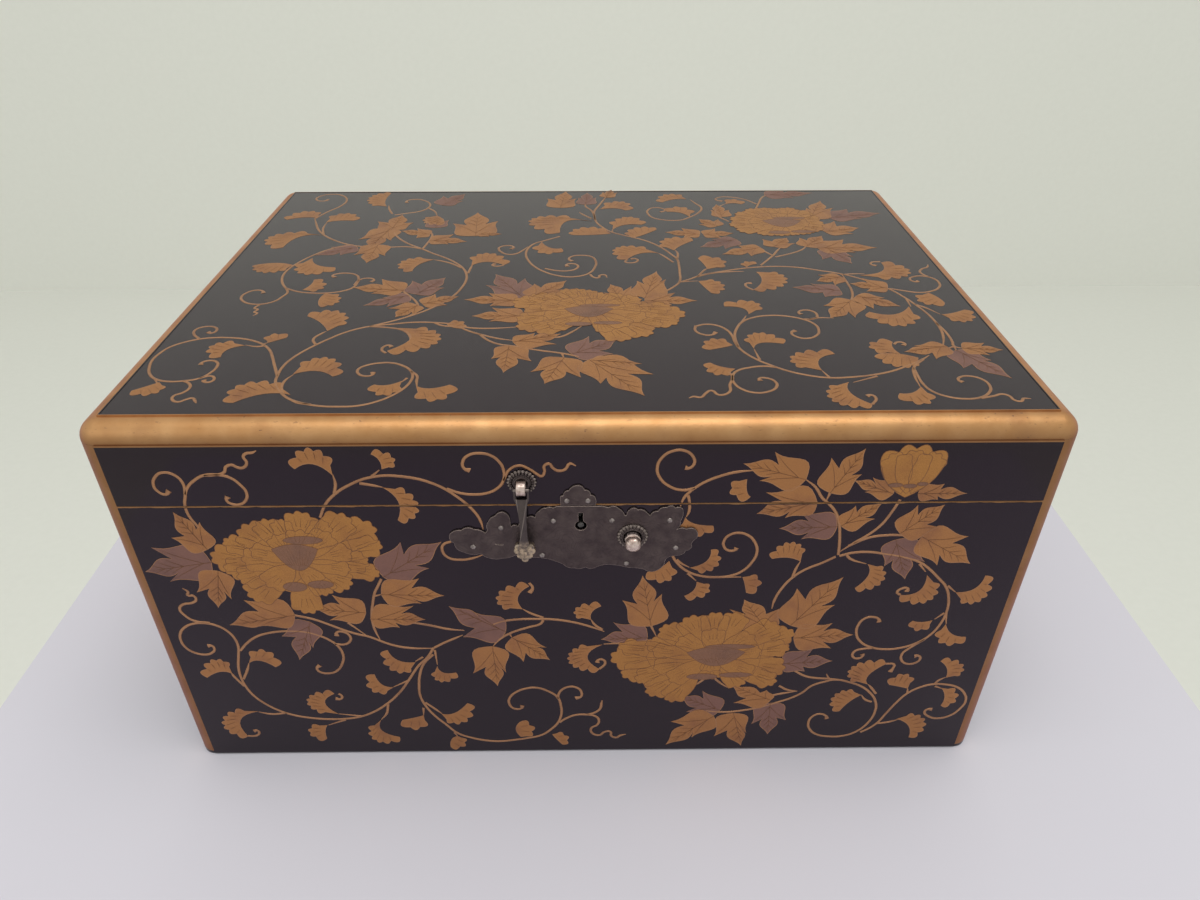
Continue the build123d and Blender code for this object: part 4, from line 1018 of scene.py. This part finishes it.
top_fronds = [
    ((-177, -113), (-181, -116.5), (-185.5, -120), (-175.5, -121.5), 4),
    ((-152, -80), (-158.5, -84), (-159, -91), (-166, -80), 5),
    ((-142.5, -77.5), (-139.5, -75.5), (-135.5, -72.5), (-143, -70), 3),
    ((-119, -124), (-130.2, -123.2), (-140.4, -130.2), (-138.5, -115), 6),
    ((-118.5, -66), (-124.5, -56.5), (-132, -50), (-116, -48), 6),
    ((-123, -107), (-114, -104), (-105.5, -109), (-113, -93), 6),
    ((-88, -63), (-78.5, -73), (-87, -86), (-66, -74), 8),
    ((-75.5, -113), (-81, -116.5), (-86.5, -116), (-80, -124), 4),
    ((-69, -117), (-63, -119.5), (-55, -116.5), (-60, -128.5), 4),
    ((-143, -19), (-140.5, -13), (-140.5, -6), (-134, -16), 4),
    ((-130, -23), (-131.5, -30), (-130, -37.5), (-122, -32), 5),
    ((-82, 21), (-89, 14), (-91, 5), (-98, 18), 6),
    ((-149, 24), (-144, 14), (-133.4, 10.6), (-150, 4), 6),
    ((-157, 14), (-166, 17), (-176, 15), (-169, 5), 6),
    ((-163, 89), (-172, 90), (-181, 86), (-172, 100), 5),
    ((-156, 81), (-149, 84), (-140, 84), (-148, 96), 5),
    ((-152, 59), (-165, 57), (-170, 40), (-180, 58), 7),
    ((-64, -59), (-62, -62), (-57, -64), (-58, -57), 3),
    ((60, -10), (62, -17), (65, -25), (71, -14), 5),
    ((42, 29), (32, 29), (24, 20), (21, 38), 7),
    ((-60.5, 12), (-53, 17.5), (-43, 13), (-54, 29), 6),
    ((-24, 47), (-19, 38), (-12.5, 37), (-23, 31), 4),
    ((92, 2), (93, -10), (87, -21), (105, -9), 7),
    ((88, 8), (90, 11), (94, 13), (88, 15), 3),
    ((66.5, 6), (65, 14), (63, 21), (76, 17), 4),
    ((146, -3), (159, 2), (162, 14), (171, -2), 7),
    ((175, -26), (178, -32), (179, -38), (168, -36), 4),
    ((173, -51), (178, -50), (186, -46), (183, -58), 5),
    ((160, -42), (150, -51), (139, -48), (151, -62), 6),
    ((141, -91), (139.5, -85), (141, -80), (130, -84), 4),
    ((148, -95), (140, -91), (131.5, -91), (138, -102), 5),
    ((103, -106), (104, -96), (112, -91), (93, -94), 6),
    ((77, -86), (81, -80), (91, -81), (80, -71), 6),
    ((80, -50), (78, -43), (69.5, -41), (85, -37), 5),
    ((66, -104), (60, -102), (56, -98.5), (57, -108), 4),
    ((68, -82), (64, -84), (57, -86.5), (59, -77), 4),
    ((112, -116), (110.5, -125), (117, -134), (102, -129), 7),
    ((141, -120), (136, -125), (130.5, -125.5), (139, -133), 4),
    ((5, 81), (-10, 82), (-14, 62), (-30, 86), 8),
    ((16, 60), (4, 58), (-6, 58), (2, 69), 5),
    ((28, 53), (34, 57), (43, 66), (30, 67), 5),
    ((17, 66), (24, 74.5), (34.5, 75), (25, 87), 6),
    ((10, 103), (19, 105), (26, 101), (23, 117), 5),
    ((51, 33), (55, 40), (63, 48), (47, 49), 5),
    ((65, 88), (60, 96), (52, 98), (62, 105), 4),
    ((66, 122), (58, 122), (50, 116), (55, 131), 5),
    ((90, 112), (95, 114), (100, 112), (96, 121), 3),
    ((-125, 110), (-128, 122), (-127, 136), (-138, 124), 7),
    ((-90.5, 92), (-86, 86), (-84, 78), (-96, 82), 5),
]
top_gold_leaves = [
    ((-32.9, -81.6), (-33.5, -106.6), (-39.9, -93.8), (-22, -96.3)),
    ((-7.9, -93.1), (-15.6, -116.2), (-22, -105.9), (-0.2, -111)),
    ((3, -95), (25.8, -126.4), (7.9, -116.4), (30.5, -108.5)),
    ((4, -95.5), (26.1, -99), (14, -104), (16, -94.5)),
    ((-31.6, -78), (-9.8, -70), (-22, -69), (-11.7, -80.3)),
    ((-28.4, -50.6), (-53.3, -50.6), (-44.4, -41.3), (-44.4, -56.6)),
    ((-32, -33), (-59.1, -31.7), (-47.6, -24), (-45.7, -39.4)),
    ((-25.8, -29), (-8.5, -8.6), (-25.2, -12.5), (-9, -20)),
    ((31.2, -30.4), (39.1, 3.5), (28, -9.3), (43.4, -7.4)),
    ((30.6, -34.2), (56.8, -34.2), (46.6, -24.6), (44, -39.4)),
    ((19.5, -35), (14, -13.5), (10.5, -24), (25, -16)),
    ((-91.1, -20.2), (-118, -16.3), (-105.2, -5.4), (-107, -24)),
    ((-79, -36.8), (-62.3, -27.8), (-74.5, -24.6), (-66.8, -38.1)),
    ((-81, -38), (-89.8, -51.5), (-95, -41.5), (-80.9, -49)),
    ((-117, 44), (-118, 16.3), (-127.5, 28), (-109.7, 26.6)),
    ((-115, 70), (-121, 38), (-130, 52), (-111, 50)),
    ((-114, 68), (-112, 94), (-125, 82), (-103, 80)),
    ((-90, 60), (-108, 66), (-99, 70), (-97, 54)),
    ((-89, 50), (-67, 48), (-76, 60), (-77, 44)),
    ((-63, 57), (-66, 98), (-79, 78), (-52, 82)),
    ((-62, 60), (-48, 60), (-55, 66), (-55, 56)),
    ((170.2, -86.1), (188.1, -88), (182.3, -81), (180.4, -93.1)),
    ((164, -84), (143.3, -89.3), (149.7, -83.5), (155.4, -96.3)),
    ((133.7, -34.2), (118.3, -54.7), (118.3, -40.6), (130.5, -54.7)),
    ((135.6, -4.8), (121.5, -10.6), (124, -2.5), (129.8, -16.3)),
    ((156, -20), (138, -14), (146, -7), (144, -24)),
    ((137.5, -29.1), (156, -41.9), (150.9, -31.7), (142, -44.5)),
    ((70, 58), (88, 60), (78, 68), (80, 52)),
    ((68, 58), (48, 62), (58, 69), (58, 53)),
    ((80, 72), (70, 84), (69, 75), (82, 84)),
    ((85, 88), (84, 112), (79, 101), (91, 101)),
    ((108, 38), (118, 52), (103, 50), (121, 43)),
    ((100, 37), (77, 27), (88, 40), (93, 24)),
    ((126, 38), (139, 55), (125, 52), (141, 46)),
    ((132, 36), (166, 36), (150, 49), (152, 29)),
    ((142, 62), (164, 68), (152, 80), (158, 58)),
    ((138, 84), (152, 118), (140, 104), (157, 104)),
    ((-15, 106), (-12, 139), (-24, 124), (-5, 124)),
    ((14, 126), (18, 142), (12, 137), (22, 136)),
]
top_brown_leaves = [
    ((-4.7, -89.9), (15.6, -76.5), (3, -72.6), (13.9, -90)),
    ((-29.7, -29.8), (-46.3, 0.3), (-50.1, -14), (-30.3, -5.4)),
    ((-87.3, -26), (-107.8, -38.1), (-100, -29), (-96, -40)),
    ((-84, -25), (-72, -4), (-89, -8), (-71, -17)),
    ((-128, 40), (-149, 28), (-143, 40), (-135, 28)),
    ((-88, 71), (-90, 92), (-96, 84), (-82, 84)),
    ((131.1, -22.7), (107.4, -18.2), (117.6, -13.8), (121.5, -30.4)),
    ((138, 34), (146, 13), (131, 19), (149, 23)),
    ((167, -88), (181.7, -113.6), (164.4, -104.6), (179.1, -97.6)),
    ((88, 50), (66, 38), (74, 50), (80, 35)),
    ((150, 86), (184, 94), (165, 102), (170, 84)),
    ((118, 130), (150, 134), (132, 139), (136, 124)),
    ((1, 112), (2, 136), (-4, 126), (8, 126)),
    ((-90, 112), (-78, 134), (-92, 130), (-78, 120)),
]
top_peonies = [
    ((4, -45), [
        (-34, -33, 14), (-26, -27, 12), (-18, -26, 12), (-10, -20, 11), (-4.7, -19.5, 10), (2, -21, 10),
        (8, -24, 11), (20, -27, 13), (28, -31, 12), (34, -40, 11), (42.7, -41.9, 13), (49, -49.6, 15),
        (45, -58.6, 13), (37, -62, 11), (31, -71.4, 14), (19.7, -76.5, 15), (12, -68, 10), (-14, -64.3, 11),
        (-21.3, -67.5, 14), (-30, -63.7, 13), (-31, -54, 11), (-28, -44, 12),
    ], (-1, -3, 12, 5)),
    ((120, 77), [
        (92, 64, 14), (88, 74, 12), (90, 85, 13), (95, 95, 13), (103, 102, 13), (112, 104, 12),
        (121, 103, 12), (130, 104, 12), (139, 98, 13), (143, 88, 12), (144, 76, 14), (142, 66, 12),
        (134, 60, 13), (124, 57, 12), (114, 56, 12), (104, 58, 13),
    ], (0, -2, 12, 6)),
]
top = {
    "stems": top_stems,
    "fronds": top_fronds,
    "gold_leaves": top_gold_leaves,
    "brown_leaves": top_brown_leaves,
    "peonies": top_peonies,
    "petals": [],
    "ovals": [],
}
add_makie("makie_top", top, Matrix.Translation((0, 0, TOP - SINK)), "lid")


# The maki-e of the left, right and back boards, which the photograph doesn't show. The vines of the front go
# on round the corners: parts of them are moved and turned over to fill each side, clear of the hinges. They end
# short of the parting, at the back by more, since the opening lid turns down over the back board there.
def carried(art, shift, flip, low, high, barred=()):
    """The parts of a drawing that fall between two ends when it is shifted, and turned over if flip is -1."""

    def moved(point):
        return (flip * point[0] + shift, point[1])

    def fits(points):
        for x, y in points:
            if not low < x < high:
                return False
            if any(left < x < right and y > foot for left, right, foot in barred):
                return False
        return True

    kept = {key: [] for key in art}
    for points, ball in art["stems"]:
        placed = [moved(point) for point in points]
        run = []
        for point in placed + [None]:
            if point and fits([point]):
                run.append(point)
                continue
            if len(run) > 2:
                kept["stems"].append((run, ball and run[-1] == placed[-1]))
            run = []
    for key in ("gold_leaves", "brown_leaves"):
        for leaf in art[key]:
            placed = tuple(moved(point) for point in leaf)
            if fits(placed):
                kept[key].append(placed)
    for *points, lobes in art["fronds"]:
        placed = tuple(moved(point) for point in points)
        if fits(placed):
            kept["fronds"].append((*placed, lobes))
    for centre, petals, core in art["peonies"]:
        placed = [(*moved(petal[:2]), petal[2]) for petal in petals]
        if fits([petal[:2] for petal in placed]):
            kept["peonies"].append((moved(centre), placed, (flip * core[0], *core[1:])))
    for root, tip, size in art["petals"]:
        if fits([moved(root), moved(tip)]):
            kept["petals"].append((moved(root), moved(tip), size))
    for centre, half, rise in art["ovals"]:
        if fits([moved(centre)]):
            kept["ovals"].append((moved(centre), half, rise))
    return kept


SIDE_REACH = (DEPTH / 2 - BAND - RIM) / MM - 1.5
BACK_REACH = 189
SIDE_SHIFT = 75
HINGE_MARGIN = 3
SIDE_CLEAR, BACK_CLEAR = 1.6, 2.3
hinge_bars = []
for side in ("left", "right"):
    leaf_low, leaf_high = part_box(f"hinge_{side}_body_leaf")
    bar_left, bar_right = -leaf_high.x / MM - HINGE_MARGIN, -leaf_low.x / MM + HINGE_MARGIN
    hinge_bars.append((bar_left, bar_right, leaf_low.z / MM - HINGE_MARGIN))
left_art = carried(front, -SIDE_SHIFT, 1, -SIDE_REACH, SIDE_REACH)
right_art = carried(front, SIDE_SHIFT, 1, -SIDE_REACH, SIDE_REACH)
back_art = carried(front, 0, -1, -BACK_REACH, BACK_REACH, hinge_bars)
on_left = Matrix(((0, 0, -1, SINK - WIDTH / 2), (-1, 0, 0, 0), (0, 1, 0, 0), (0, 0, 0, 1)))
on_right = Matrix(((0, 0, 1, WIDTH / 2 - SINK), (1, 0, 0, 0), (0, 1, 0, 0), (0, 0, 0, 1)))
on_back = Matrix(((-1, 0, 0, 0), (0, 0, 1, DEPTH / 2), (0, 1, 0, 0), (0, 0, 0, 1)))
hidden_sides = [
    ("left", left_art, on_left, SIDE_CLEAR),
    ("right", right_art, on_right, SIDE_CLEAR),
    ("back", back_art, on_back, BACK_CLEAR),
]
for side, art, place, clear in hidden_sides:
    add_makie(f"makie_{side}_box", art, place, "box", (PARTING / MM - clear, False))
    add_makie(f"makie_{side}_lid", art, place, "lid", (PARTING / MM + clear, True))


# The lock plate and the strike plate: cut from sheet copper that is patinated dark and engraved with faint
# scrolls, their edges eased and painted paler, for their wear and as a painted highlight where they catch the
# light. They keep their solids' shapes and get the metal's finish here.
def dark_metal(name, base, worn, roughness=0.42):
    """Patinated copper or iron: worn in patches, darker in its pits, with the marks of the hammer."""
    material, tree, shader = new_material(name, 0.85, roughness)
    cloud = ramp(tree, noise(tree, 220, 5, 0.6), 0.35, 0.7)
    pits = ramp(tree, noise(tree, 1400, 3, 0.6), 0.4, 0.62, 0.6, 1.15)
    fine_marks = math_node(tree, "MULTIPLY", noise(tree, 1800, 2), 0.5)
    relief = math_node(tree, "ADD", noise(tree, 500, 3), fine_marks)
    feed(
        tree,
        shader,
        Base_Color=graded(tree, mix_color(tree, cloud, base, worn), pits),
        Roughness=ramp(tree, cloud, 0, 1, roughness - 0.06, roughness + 0.12),
        Normal=bump(tree, relief, 0.0002, 0.6),
    )
    return material


copper = dark_metal("dark_copper", (0.075, 0.055, 0.056), (0.13, 0.1, 0.095))
# Paler copper for raised rims and tips: their wear, with a painted highlight where they catch the light.
worn_lit_copper = dark_metal("worn_lit_copper", (0.2, 0.16, 0.15), (0.32, 0.26, 0.23), 0.36)
EASED_EDGE = 0.42 * MM
engraved, tree, shader = new_material("engraved_copper", 0.85, 0.45)
place = add_node(tree, "ShaderNodeTexCoord").outputs["Object"]
swirl = add_node(tree, "ShaderNodeTexNoise", {"Vector": place, "Scale": 90.0, "Detail": 1.0})
bend = {0: swirl.outputs["Color"], 1: (0.02, 0.02, 0.02)}
bent = add_node(tree, "ShaderNodeVectorMath", bend, operation="MULTIPLY").outputs[0]
bent = add_node(tree, "ShaderNodeVectorMath", {0: place, 1: bent}, operation="ADD").outputs[0]
rings = {"Vector": bent, "Scale": 260.0, "Distortion": 4.0, "Detail": 1.0}
scrolls = add_node(tree, "ShaderNodeTexWave", rings, wave_type="RINGS")
cut_lines = ramp(tree, scrolls.outputs["Fac"], 0.06, 0.2, 0.72)
cloud = ramp(tree, noise(tree, 200, 5, 0.6), 0.35, 0.7)
tone = mix_color(tree, cloud, (0.062, 0.043, 0.046), (0.105, 0.077, 0.075))
tone = mix_color(tree, cut_lines, (0.03, 0.023, 0.024), tone)
eased = add_node(tree, "ShaderNodeBevel", {"Radius": EASED_EDGE}, samples=6)
flat = add_node(tree, "ShaderNodeNewGeometry").outputs["True Normal"]
facing = add_node(tree, "ShaderNodeVectorMath", {0: eased.outputs[0], 1: flat}, operation="DOT_PRODUCT")
# Painted highlight: the eased edges are painted paler copper for the light they catch, and for their wear.
lit_worn_edge = ramp(tree, facing.outputs["Value"], 0.995, 0.9)
relief = bump(tree, math_node(tree, "ADD", cut_lines, noise(tree, 900, 3)), 0.00018, 0.6)
tree.links.new(eased.outputs[0], relief.node.inputs["Normal"])
feed(tree, shader, Base_Color=mix_color(tree, lit_worn_edge, tone, (0.4, 0.31, 0.28)), Normal=relief)
dress("lock_plate", engraved)
dress("strike_plate", engraved)


# The nails of the plates and the hinges: square wire shanks with round heads, beaten to low domes and silver
# grey. Each row is one piece, driven where the nails of its node stand.
def bright_metal(name, base, worn, roughness):
    """Pale metal, dulled in patches."""
    material, tree, shader = new_material(name, 0.95, roughness)
    cloud = ramp(tree, noise(tree, 700, 4, 0.6), 0.4, 0.68)
    feed(
        tree,
        shader,
        Base_Color=mix_color(tree, cloud, base, worn),
        Roughness=ramp(tree, cloud, 0, 1, roughness, roughness + 0.15),
        Normal=bump(tree, noise(tree, 1500, 3), 0.0001, 0.5),
    )
    return material


nail_metal = bright_metal("nail_metal", (0.34, 0.29, 0.28), (0.15, 0.125, 0.12), 0.36)
HEAD = 1.2 * MM
FLATTENED = 0.54
DOME = 0.65 * MM
SHANK = 0.9 * MM
SHANK_TOP = 0.6 * MM
SHANK_SHORT = 0.1 * MM
NAIL_SPACE = 3.2 * MM


def nail_places(node):
    """The middle in x, the two ends along y and the middle in z of each nail of a node."""
    nails = []
    for vertex in nodes[node].data.vertices:
        point = nodes[node].matrix_world @ vertex.co
        for nail in nails:
            if math.hypot(point.x - nail[0].x, point.z - nail[0].z) < NAIL_SPACE:
                nail.append(point)
                break
        else:
            nails.append([point])
    places = []
    for nail in nails:
        low = [min(point[i] for point in nail) for i in range(3)]
        high = [max(point[i] for point in nail) for i in range(3)]
        places.append(((low[0] + high[0]) / 2, low[1], high[1], (low[2] + high[2]) / 2))
    return places


def finish_piece(piece, body, node):
    """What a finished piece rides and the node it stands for."""
    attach(piece, body)
    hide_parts(node)


def add_nails(node, body, outward):
    """Domed heads with their square shanks; outward is the way the heads face along Y."""
    made = []
    for x, low, high, z in nail_places(node):
        crown = low if outward < 0 else high
        pick()
        bpy.ops.mesh.primitive_uv_sphere_add(segments=20, ring_count=10, radius=HEAD)
        head = bpy.context.object
        open_mesh(head)
        bpy.ops.mesh.bisect(
            plane_co=(0, 0, 0), plane_no=(0, 1, 0), use_fill=True,
            clear_inner=outward > 0, clear_outer=outward < 0,
        )
        bpy.ops.object.mode_set(mode="OBJECT")
        bpy.ops.object.shade_smooth_by_angle(angle=math.radians(50))
        seat = Matrix.Translation((x, crown - outward * DOME, z))
        head.data.transform(seat @ Matrix.Diagonal((1, FLATTENED, 1, 1)))
        pick()
        bpy.ops.mesh.primitive_cube_add(size=1.0)
        shank = bpy.context.object
        length = high - low - SHANK_TOP - SHANK_SHORT
        driven = Matrix.Translation((x, crown - outward * (SHANK_TOP + length / 2), z))
        shank.data.transform(driven @ Matrix.Diagonal((SHANK, length, SHANK, 1)))
        made += [head, shank]
    pick(*made)
    bpy.ops.object.join()
    nails = made[0]
    nails.name = f"{node}_dressed"
    nails.data.materials.append(nail_metal)
    nails.location = (0, 0, 0)
    finish_piece(nails, body, node)


add_nails("lock_plate_nails", "box", -1)
add_nails("strike_plate_nails", "lid", -1)
add_nails("hinge_body_nails", "box", 1)
add_nails("hinge_lid_nails", "lid", 1)


# The two chrysanthemum washers, round the button's neck and under the eye: dark copper beaten into two rings
# of raised petals, with round steps that rise to a collar at the hole. The petals' tips are paler: rubbed, and
# painted lighter as a highlight where they catch the light.
PETAL_COUNT = 22
OUTER_RING = (0.6, 0.985, 0.34, 0.118)
INNER_RING = (0.6, 0.83, 0.62, 0.095)
PETAL_THICKNESS = 0.3
PETAL_TILT = 8
COLLAR_STEPS = ((0.85, 0, 0.28), (0.45, 0.2, 0.72), (0.28, 0.5, 1))
WORN_AND_LIT_FROM = 0.84
BUTTON_HOLE = 3.95 * MM
EYE_HOLE = 2.2 * MM


def add_washer(node, body, hole):
    """A chrysanthemum in the space of its node, with petals that rise to the collar round the hole."""
    low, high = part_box(node)
    reach = (high.x - low.x) / 2
    rise = high.y - low.y
    middle = ((low.x + high.x) / 2, high.y, (low.z + high.z) / 2)
    made = []
    for start, end, lift, half in (OUTER_RING, INNER_RING):
        shape = Matrix.Diagonal(((end - start) / 2 * reach, half * reach, PETAL_THICKNESS * rise, 1))
        tilt = Matrix.Rotation(math.radians(PETAL_TILT), 4, "Y")
        out = Matrix.Translation(((start + end) / 2 * reach, 0, lift * rise))
        for i in range(PETAL_COUNT):
            pick()
            bpy.ops.mesh.primitive_uv_sphere_add(segments=10, ring_count=6, radius=1.0)
            petal = bpy.context.object
            bpy.ops.object.shade_smooth()
            petal.data.transform(Matrix.Rotation(2 * math.pi * i / PETAL_COUNT, 4, "Z") @ out @ tilt @ shape)
            made.append(petal)
    for part, foot, head in COLLAR_STEPS:
        half = part * (reach - hole) / 2
        pick()
        bpy.ops.mesh.primitive_torus_add(
            major_segments=48, minor_segments=10, major_radius=hole + half, minor_radius=half
        )
        ring = bpy.context.object
        bpy.ops.object.shade_smooth()
        squash = Matrix.Diagonal((1, 1, (head - foot) * rise / (2 * half), 1))
        ring.data.transform(Matrix.Translation((0, 0, (foot + head) / 2 * rise)) @ squash)
        made.append(ring)
    pick(*made)
    bpy.ops.object.join()
    washer = made[0]
    washer.name = f"{node}_dressed"
    washer.data.transform(Matrix.Translation(middle) @ Matrix.Rotation(math.pi / 2, 4, "X"))
    washer.data.materials.append(worn_lit_copper)
    washer.data.materials.append(copper)
    # The outer tips of the petals take the paler copper: wear, and a painted highlight.
    for face in washer.data.polygons:
        out = math.hypot(face.center.x - middle[0], face.center.z - middle[2]) / reach
        face.material_index = 0 if out > WORN_AND_LIT_FROM else 1
    finish_piece(washer, body, node)


add_washer("button_washer", "box", BUTTON_HOLE)
add_washer("pull_washer", "lid", EYE_HOLE)


# The push button: a four-lobed bud in worn silvered copper on a round neck of dark copper, with cut lines
# between the lobes and a shallow ring round the tip. Carved from a ball and set on the solid's neck and shank.
silver = bright_metal("silvered_copper", (0.68, 0.55, 0.5), (0.4, 0.29, 0.25), 0.36)
BUD = 3.7 * MM
BUD_LENGTH = 5.4 * MM
BUD_FILL = 0.94
NECK_OVERLAP = 0.4 * MM
SQUARENESS = 0.1
SEAM_DEPTH, SEAM_WIDTH = 0.12, 0.16
BLUNTNESS = 0.8
RING_DEPTH, RING_AT, RING_WIDTH = 0.08, 0.35, 0.1


def welded_copy(node, name):
    """A mesh of its own with a node's shape, its split corners joined and its flat faces whole."""
    piece = bpy.data.objects.new(name, nodes[node].data.copy())
    bpy.context.scene.collection.objects.link(piece)
    piece.data.transform(nodes[node].matrix_world)
    piece.data.materials.clear()
    open_mesh(piece)
    bpy.ops.mesh.remove_doubles(threshold=1e-6)
    bpy.ops.mesh.dissolve_limited(angle_limit=math.radians(0.5))
    bpy.ops.mesh.normals_make_consistent(inside=False)
    bpy.ops.object.mode_set(mode="OBJECT")
    return piece


pick()
bpy.ops.mesh.primitive_uv_sphere_add(segments=64, ring_count=32, radius=1.0)
bud = bpy.context.object
bpy.ops.object.shade_smooth()
for vertex in bud.data.vertices:
    angle = math.atan2(vertex.co.y, vertex.co.x)
    ring = math.hypot(vertex.co.x, vertex.co.y)
    square = 1 - SQUARENESS + SQUARENESS * abs(math.cos(2 * angle))
    seam = SEAM_DEPTH * math.exp(-((math.sin(2 * angle) / SEAM_WIDTH) ** 2)) * ring
    groove = RING_DEPTH * math.exp(-((ring - RING_AT) / RING_WIDTH) ** 2)
    vertex.co.x *= square - seam
    vertex.co.y *= square - seam
    vertex.co.z = math.copysign(abs(vertex.co.z) ** BLUNTNESS, vertex.co.z) - groove
widest = max(max(abs(vertex.co.x), abs(vertex.co.y)) for vertex in bud.data.vertices)
low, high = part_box("push_button")
bud_middle = Vector(((low.x + high.x) / 2, low.y + BUD_LENGTH / 2, (low.z + high.z) / 2))
shape = Matrix.Diagonal((BUD_FILL * BUD / widest, BUD_FILL * BUD / widest, BUD_LENGTH / 2, 1))
turn = Matrix.Rotation(math.pi / 2, 4, "X") @ Matrix.Rotation(math.radians(45), 4, "Z")
bud.data.transform(Matrix.Translation(bud_middle) @ turn @ shape)
button = welded_copy("push_button", "push_button_dressed")
open_mesh(button)
neck_end = low.y + BUD_LENGTH - NECK_OVERLAP
bpy.ops.mesh.bisect(plane_co=(0, neck_end, 0), plane_no=(0, 1, 0), use_fill=True, clear_inner=True)
bpy.ops.object.mode_set(mode="OBJECT")
pick(button, bud)
bpy.ops.object.join()
button.data.materials.append(silver)
button.data.materials.append(copper)
for face in button.data.polygons:
    face.material_index = 1 if face.center.y > neck_end + 0.1 * MM else 0
finish_piece(button, "button", "push_button")


# The eye and the pull that hangs from it: a bent strip of pale silvered copper, and a flat pull of dark copper
# with softened edges, painted paler along them as a highlight, whose flower end is rubbed to a brassy shine.
# Both are bevelled copies of the solids.
STRIP_EDGE = 0.2 * MM
PULL_EDGE = 0.22 * MM
RUBBED_BELOW, RUBBED_FULLY = 11.5 * MM, 7.5 * MM


def bevelled_copy(node, body, width, material):
    """A copy with its edges eased."""
    piece = welded_copy(node, f"{node}_dressed")
    bpy.ops.object.modifier_add(type="BEVEL")
    bevel = piece.modifiers[-1]
    bevel.width = width
    bevel.segments = 2
    bevel.limit_method = "ANGLE"
    bevel.angle_limit = math.radians(40)
    bevel.harden_normals = True
    bpy.ops.object.modifier_apply(modifier=bevel.name)
    bpy.ops.object.shade_smooth_by_angle(angle=math.radians(40))
    piece.data.materials.append(material)
    finish_piece(piece, body, node)


worn_pull, tree, shader = new_material("worn_pull", 0.9, 0.4)
height = object_axes(tree)[2]
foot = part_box("lid_pull")[0].z
towards_foot = ramp(tree, height, foot + RUBBED_BELOW, foot + RUBBED_FULLY)
patches = ramp(tree, noise(tree, 700, 4, 0.6), 0.38, 0.6, 0.15, 1)
rubbed = math_node(tree, "MULTIPLY", towards_foot, patches)
# Painted highlight: the pull's sharp edges are painted paler where they would catch the light.
edge = ramp(tree, add_node(tree, "ShaderNodeNewGeometry").outputs["Pointiness"], 0.53, 0.6)
tone = mix_color(tree, noise(tree, 260, 4), (0.06, 0.046, 0.047), (0.12, 0.095, 0.09))
tone = mix_color(tree, math_node(tree, "MULTIPLY", edge, 0.8), tone, (0.36, 0.3, 0.27))
tone = mix_color(tree, rubbed, tone, (0.56, 0.43, 0.3))
feed(tree, shader, Base_Color=tone, Normal=bump(tree, noise(tree, 900, 3), 0.0002, 0.5))
bevelled_copy("pull_staple", "lid", STRIP_EDGE, silver)
bevelled_copy("lid_pull", "pull", PULL_EDGE, worn_pull)


# The hinges on the back and the lock's inner parts: dark copper leaves on pale pins, and filed iron for the
# case, the bolt, the catch, the key's pin and their nails. They keep their solids' shapes.
iron = dark_metal("lock_iron", (0.085, 0.08, 0.078), (0.15, 0.14, 0.13), 0.45)
for side in ("left", "right"):
    dress(f"hinge_{side}_body_leaf", copper)
    dress(f"hinge_{side}_lid_leaf", copper)
    dress(f"hinge_{side}_pin", nail_metal)
for node in ("lock_case", "lock_case_nails", "key_pin", "lock_bolt", "lid_catch", "lid_catch_nails"):
    dress(node, iron)
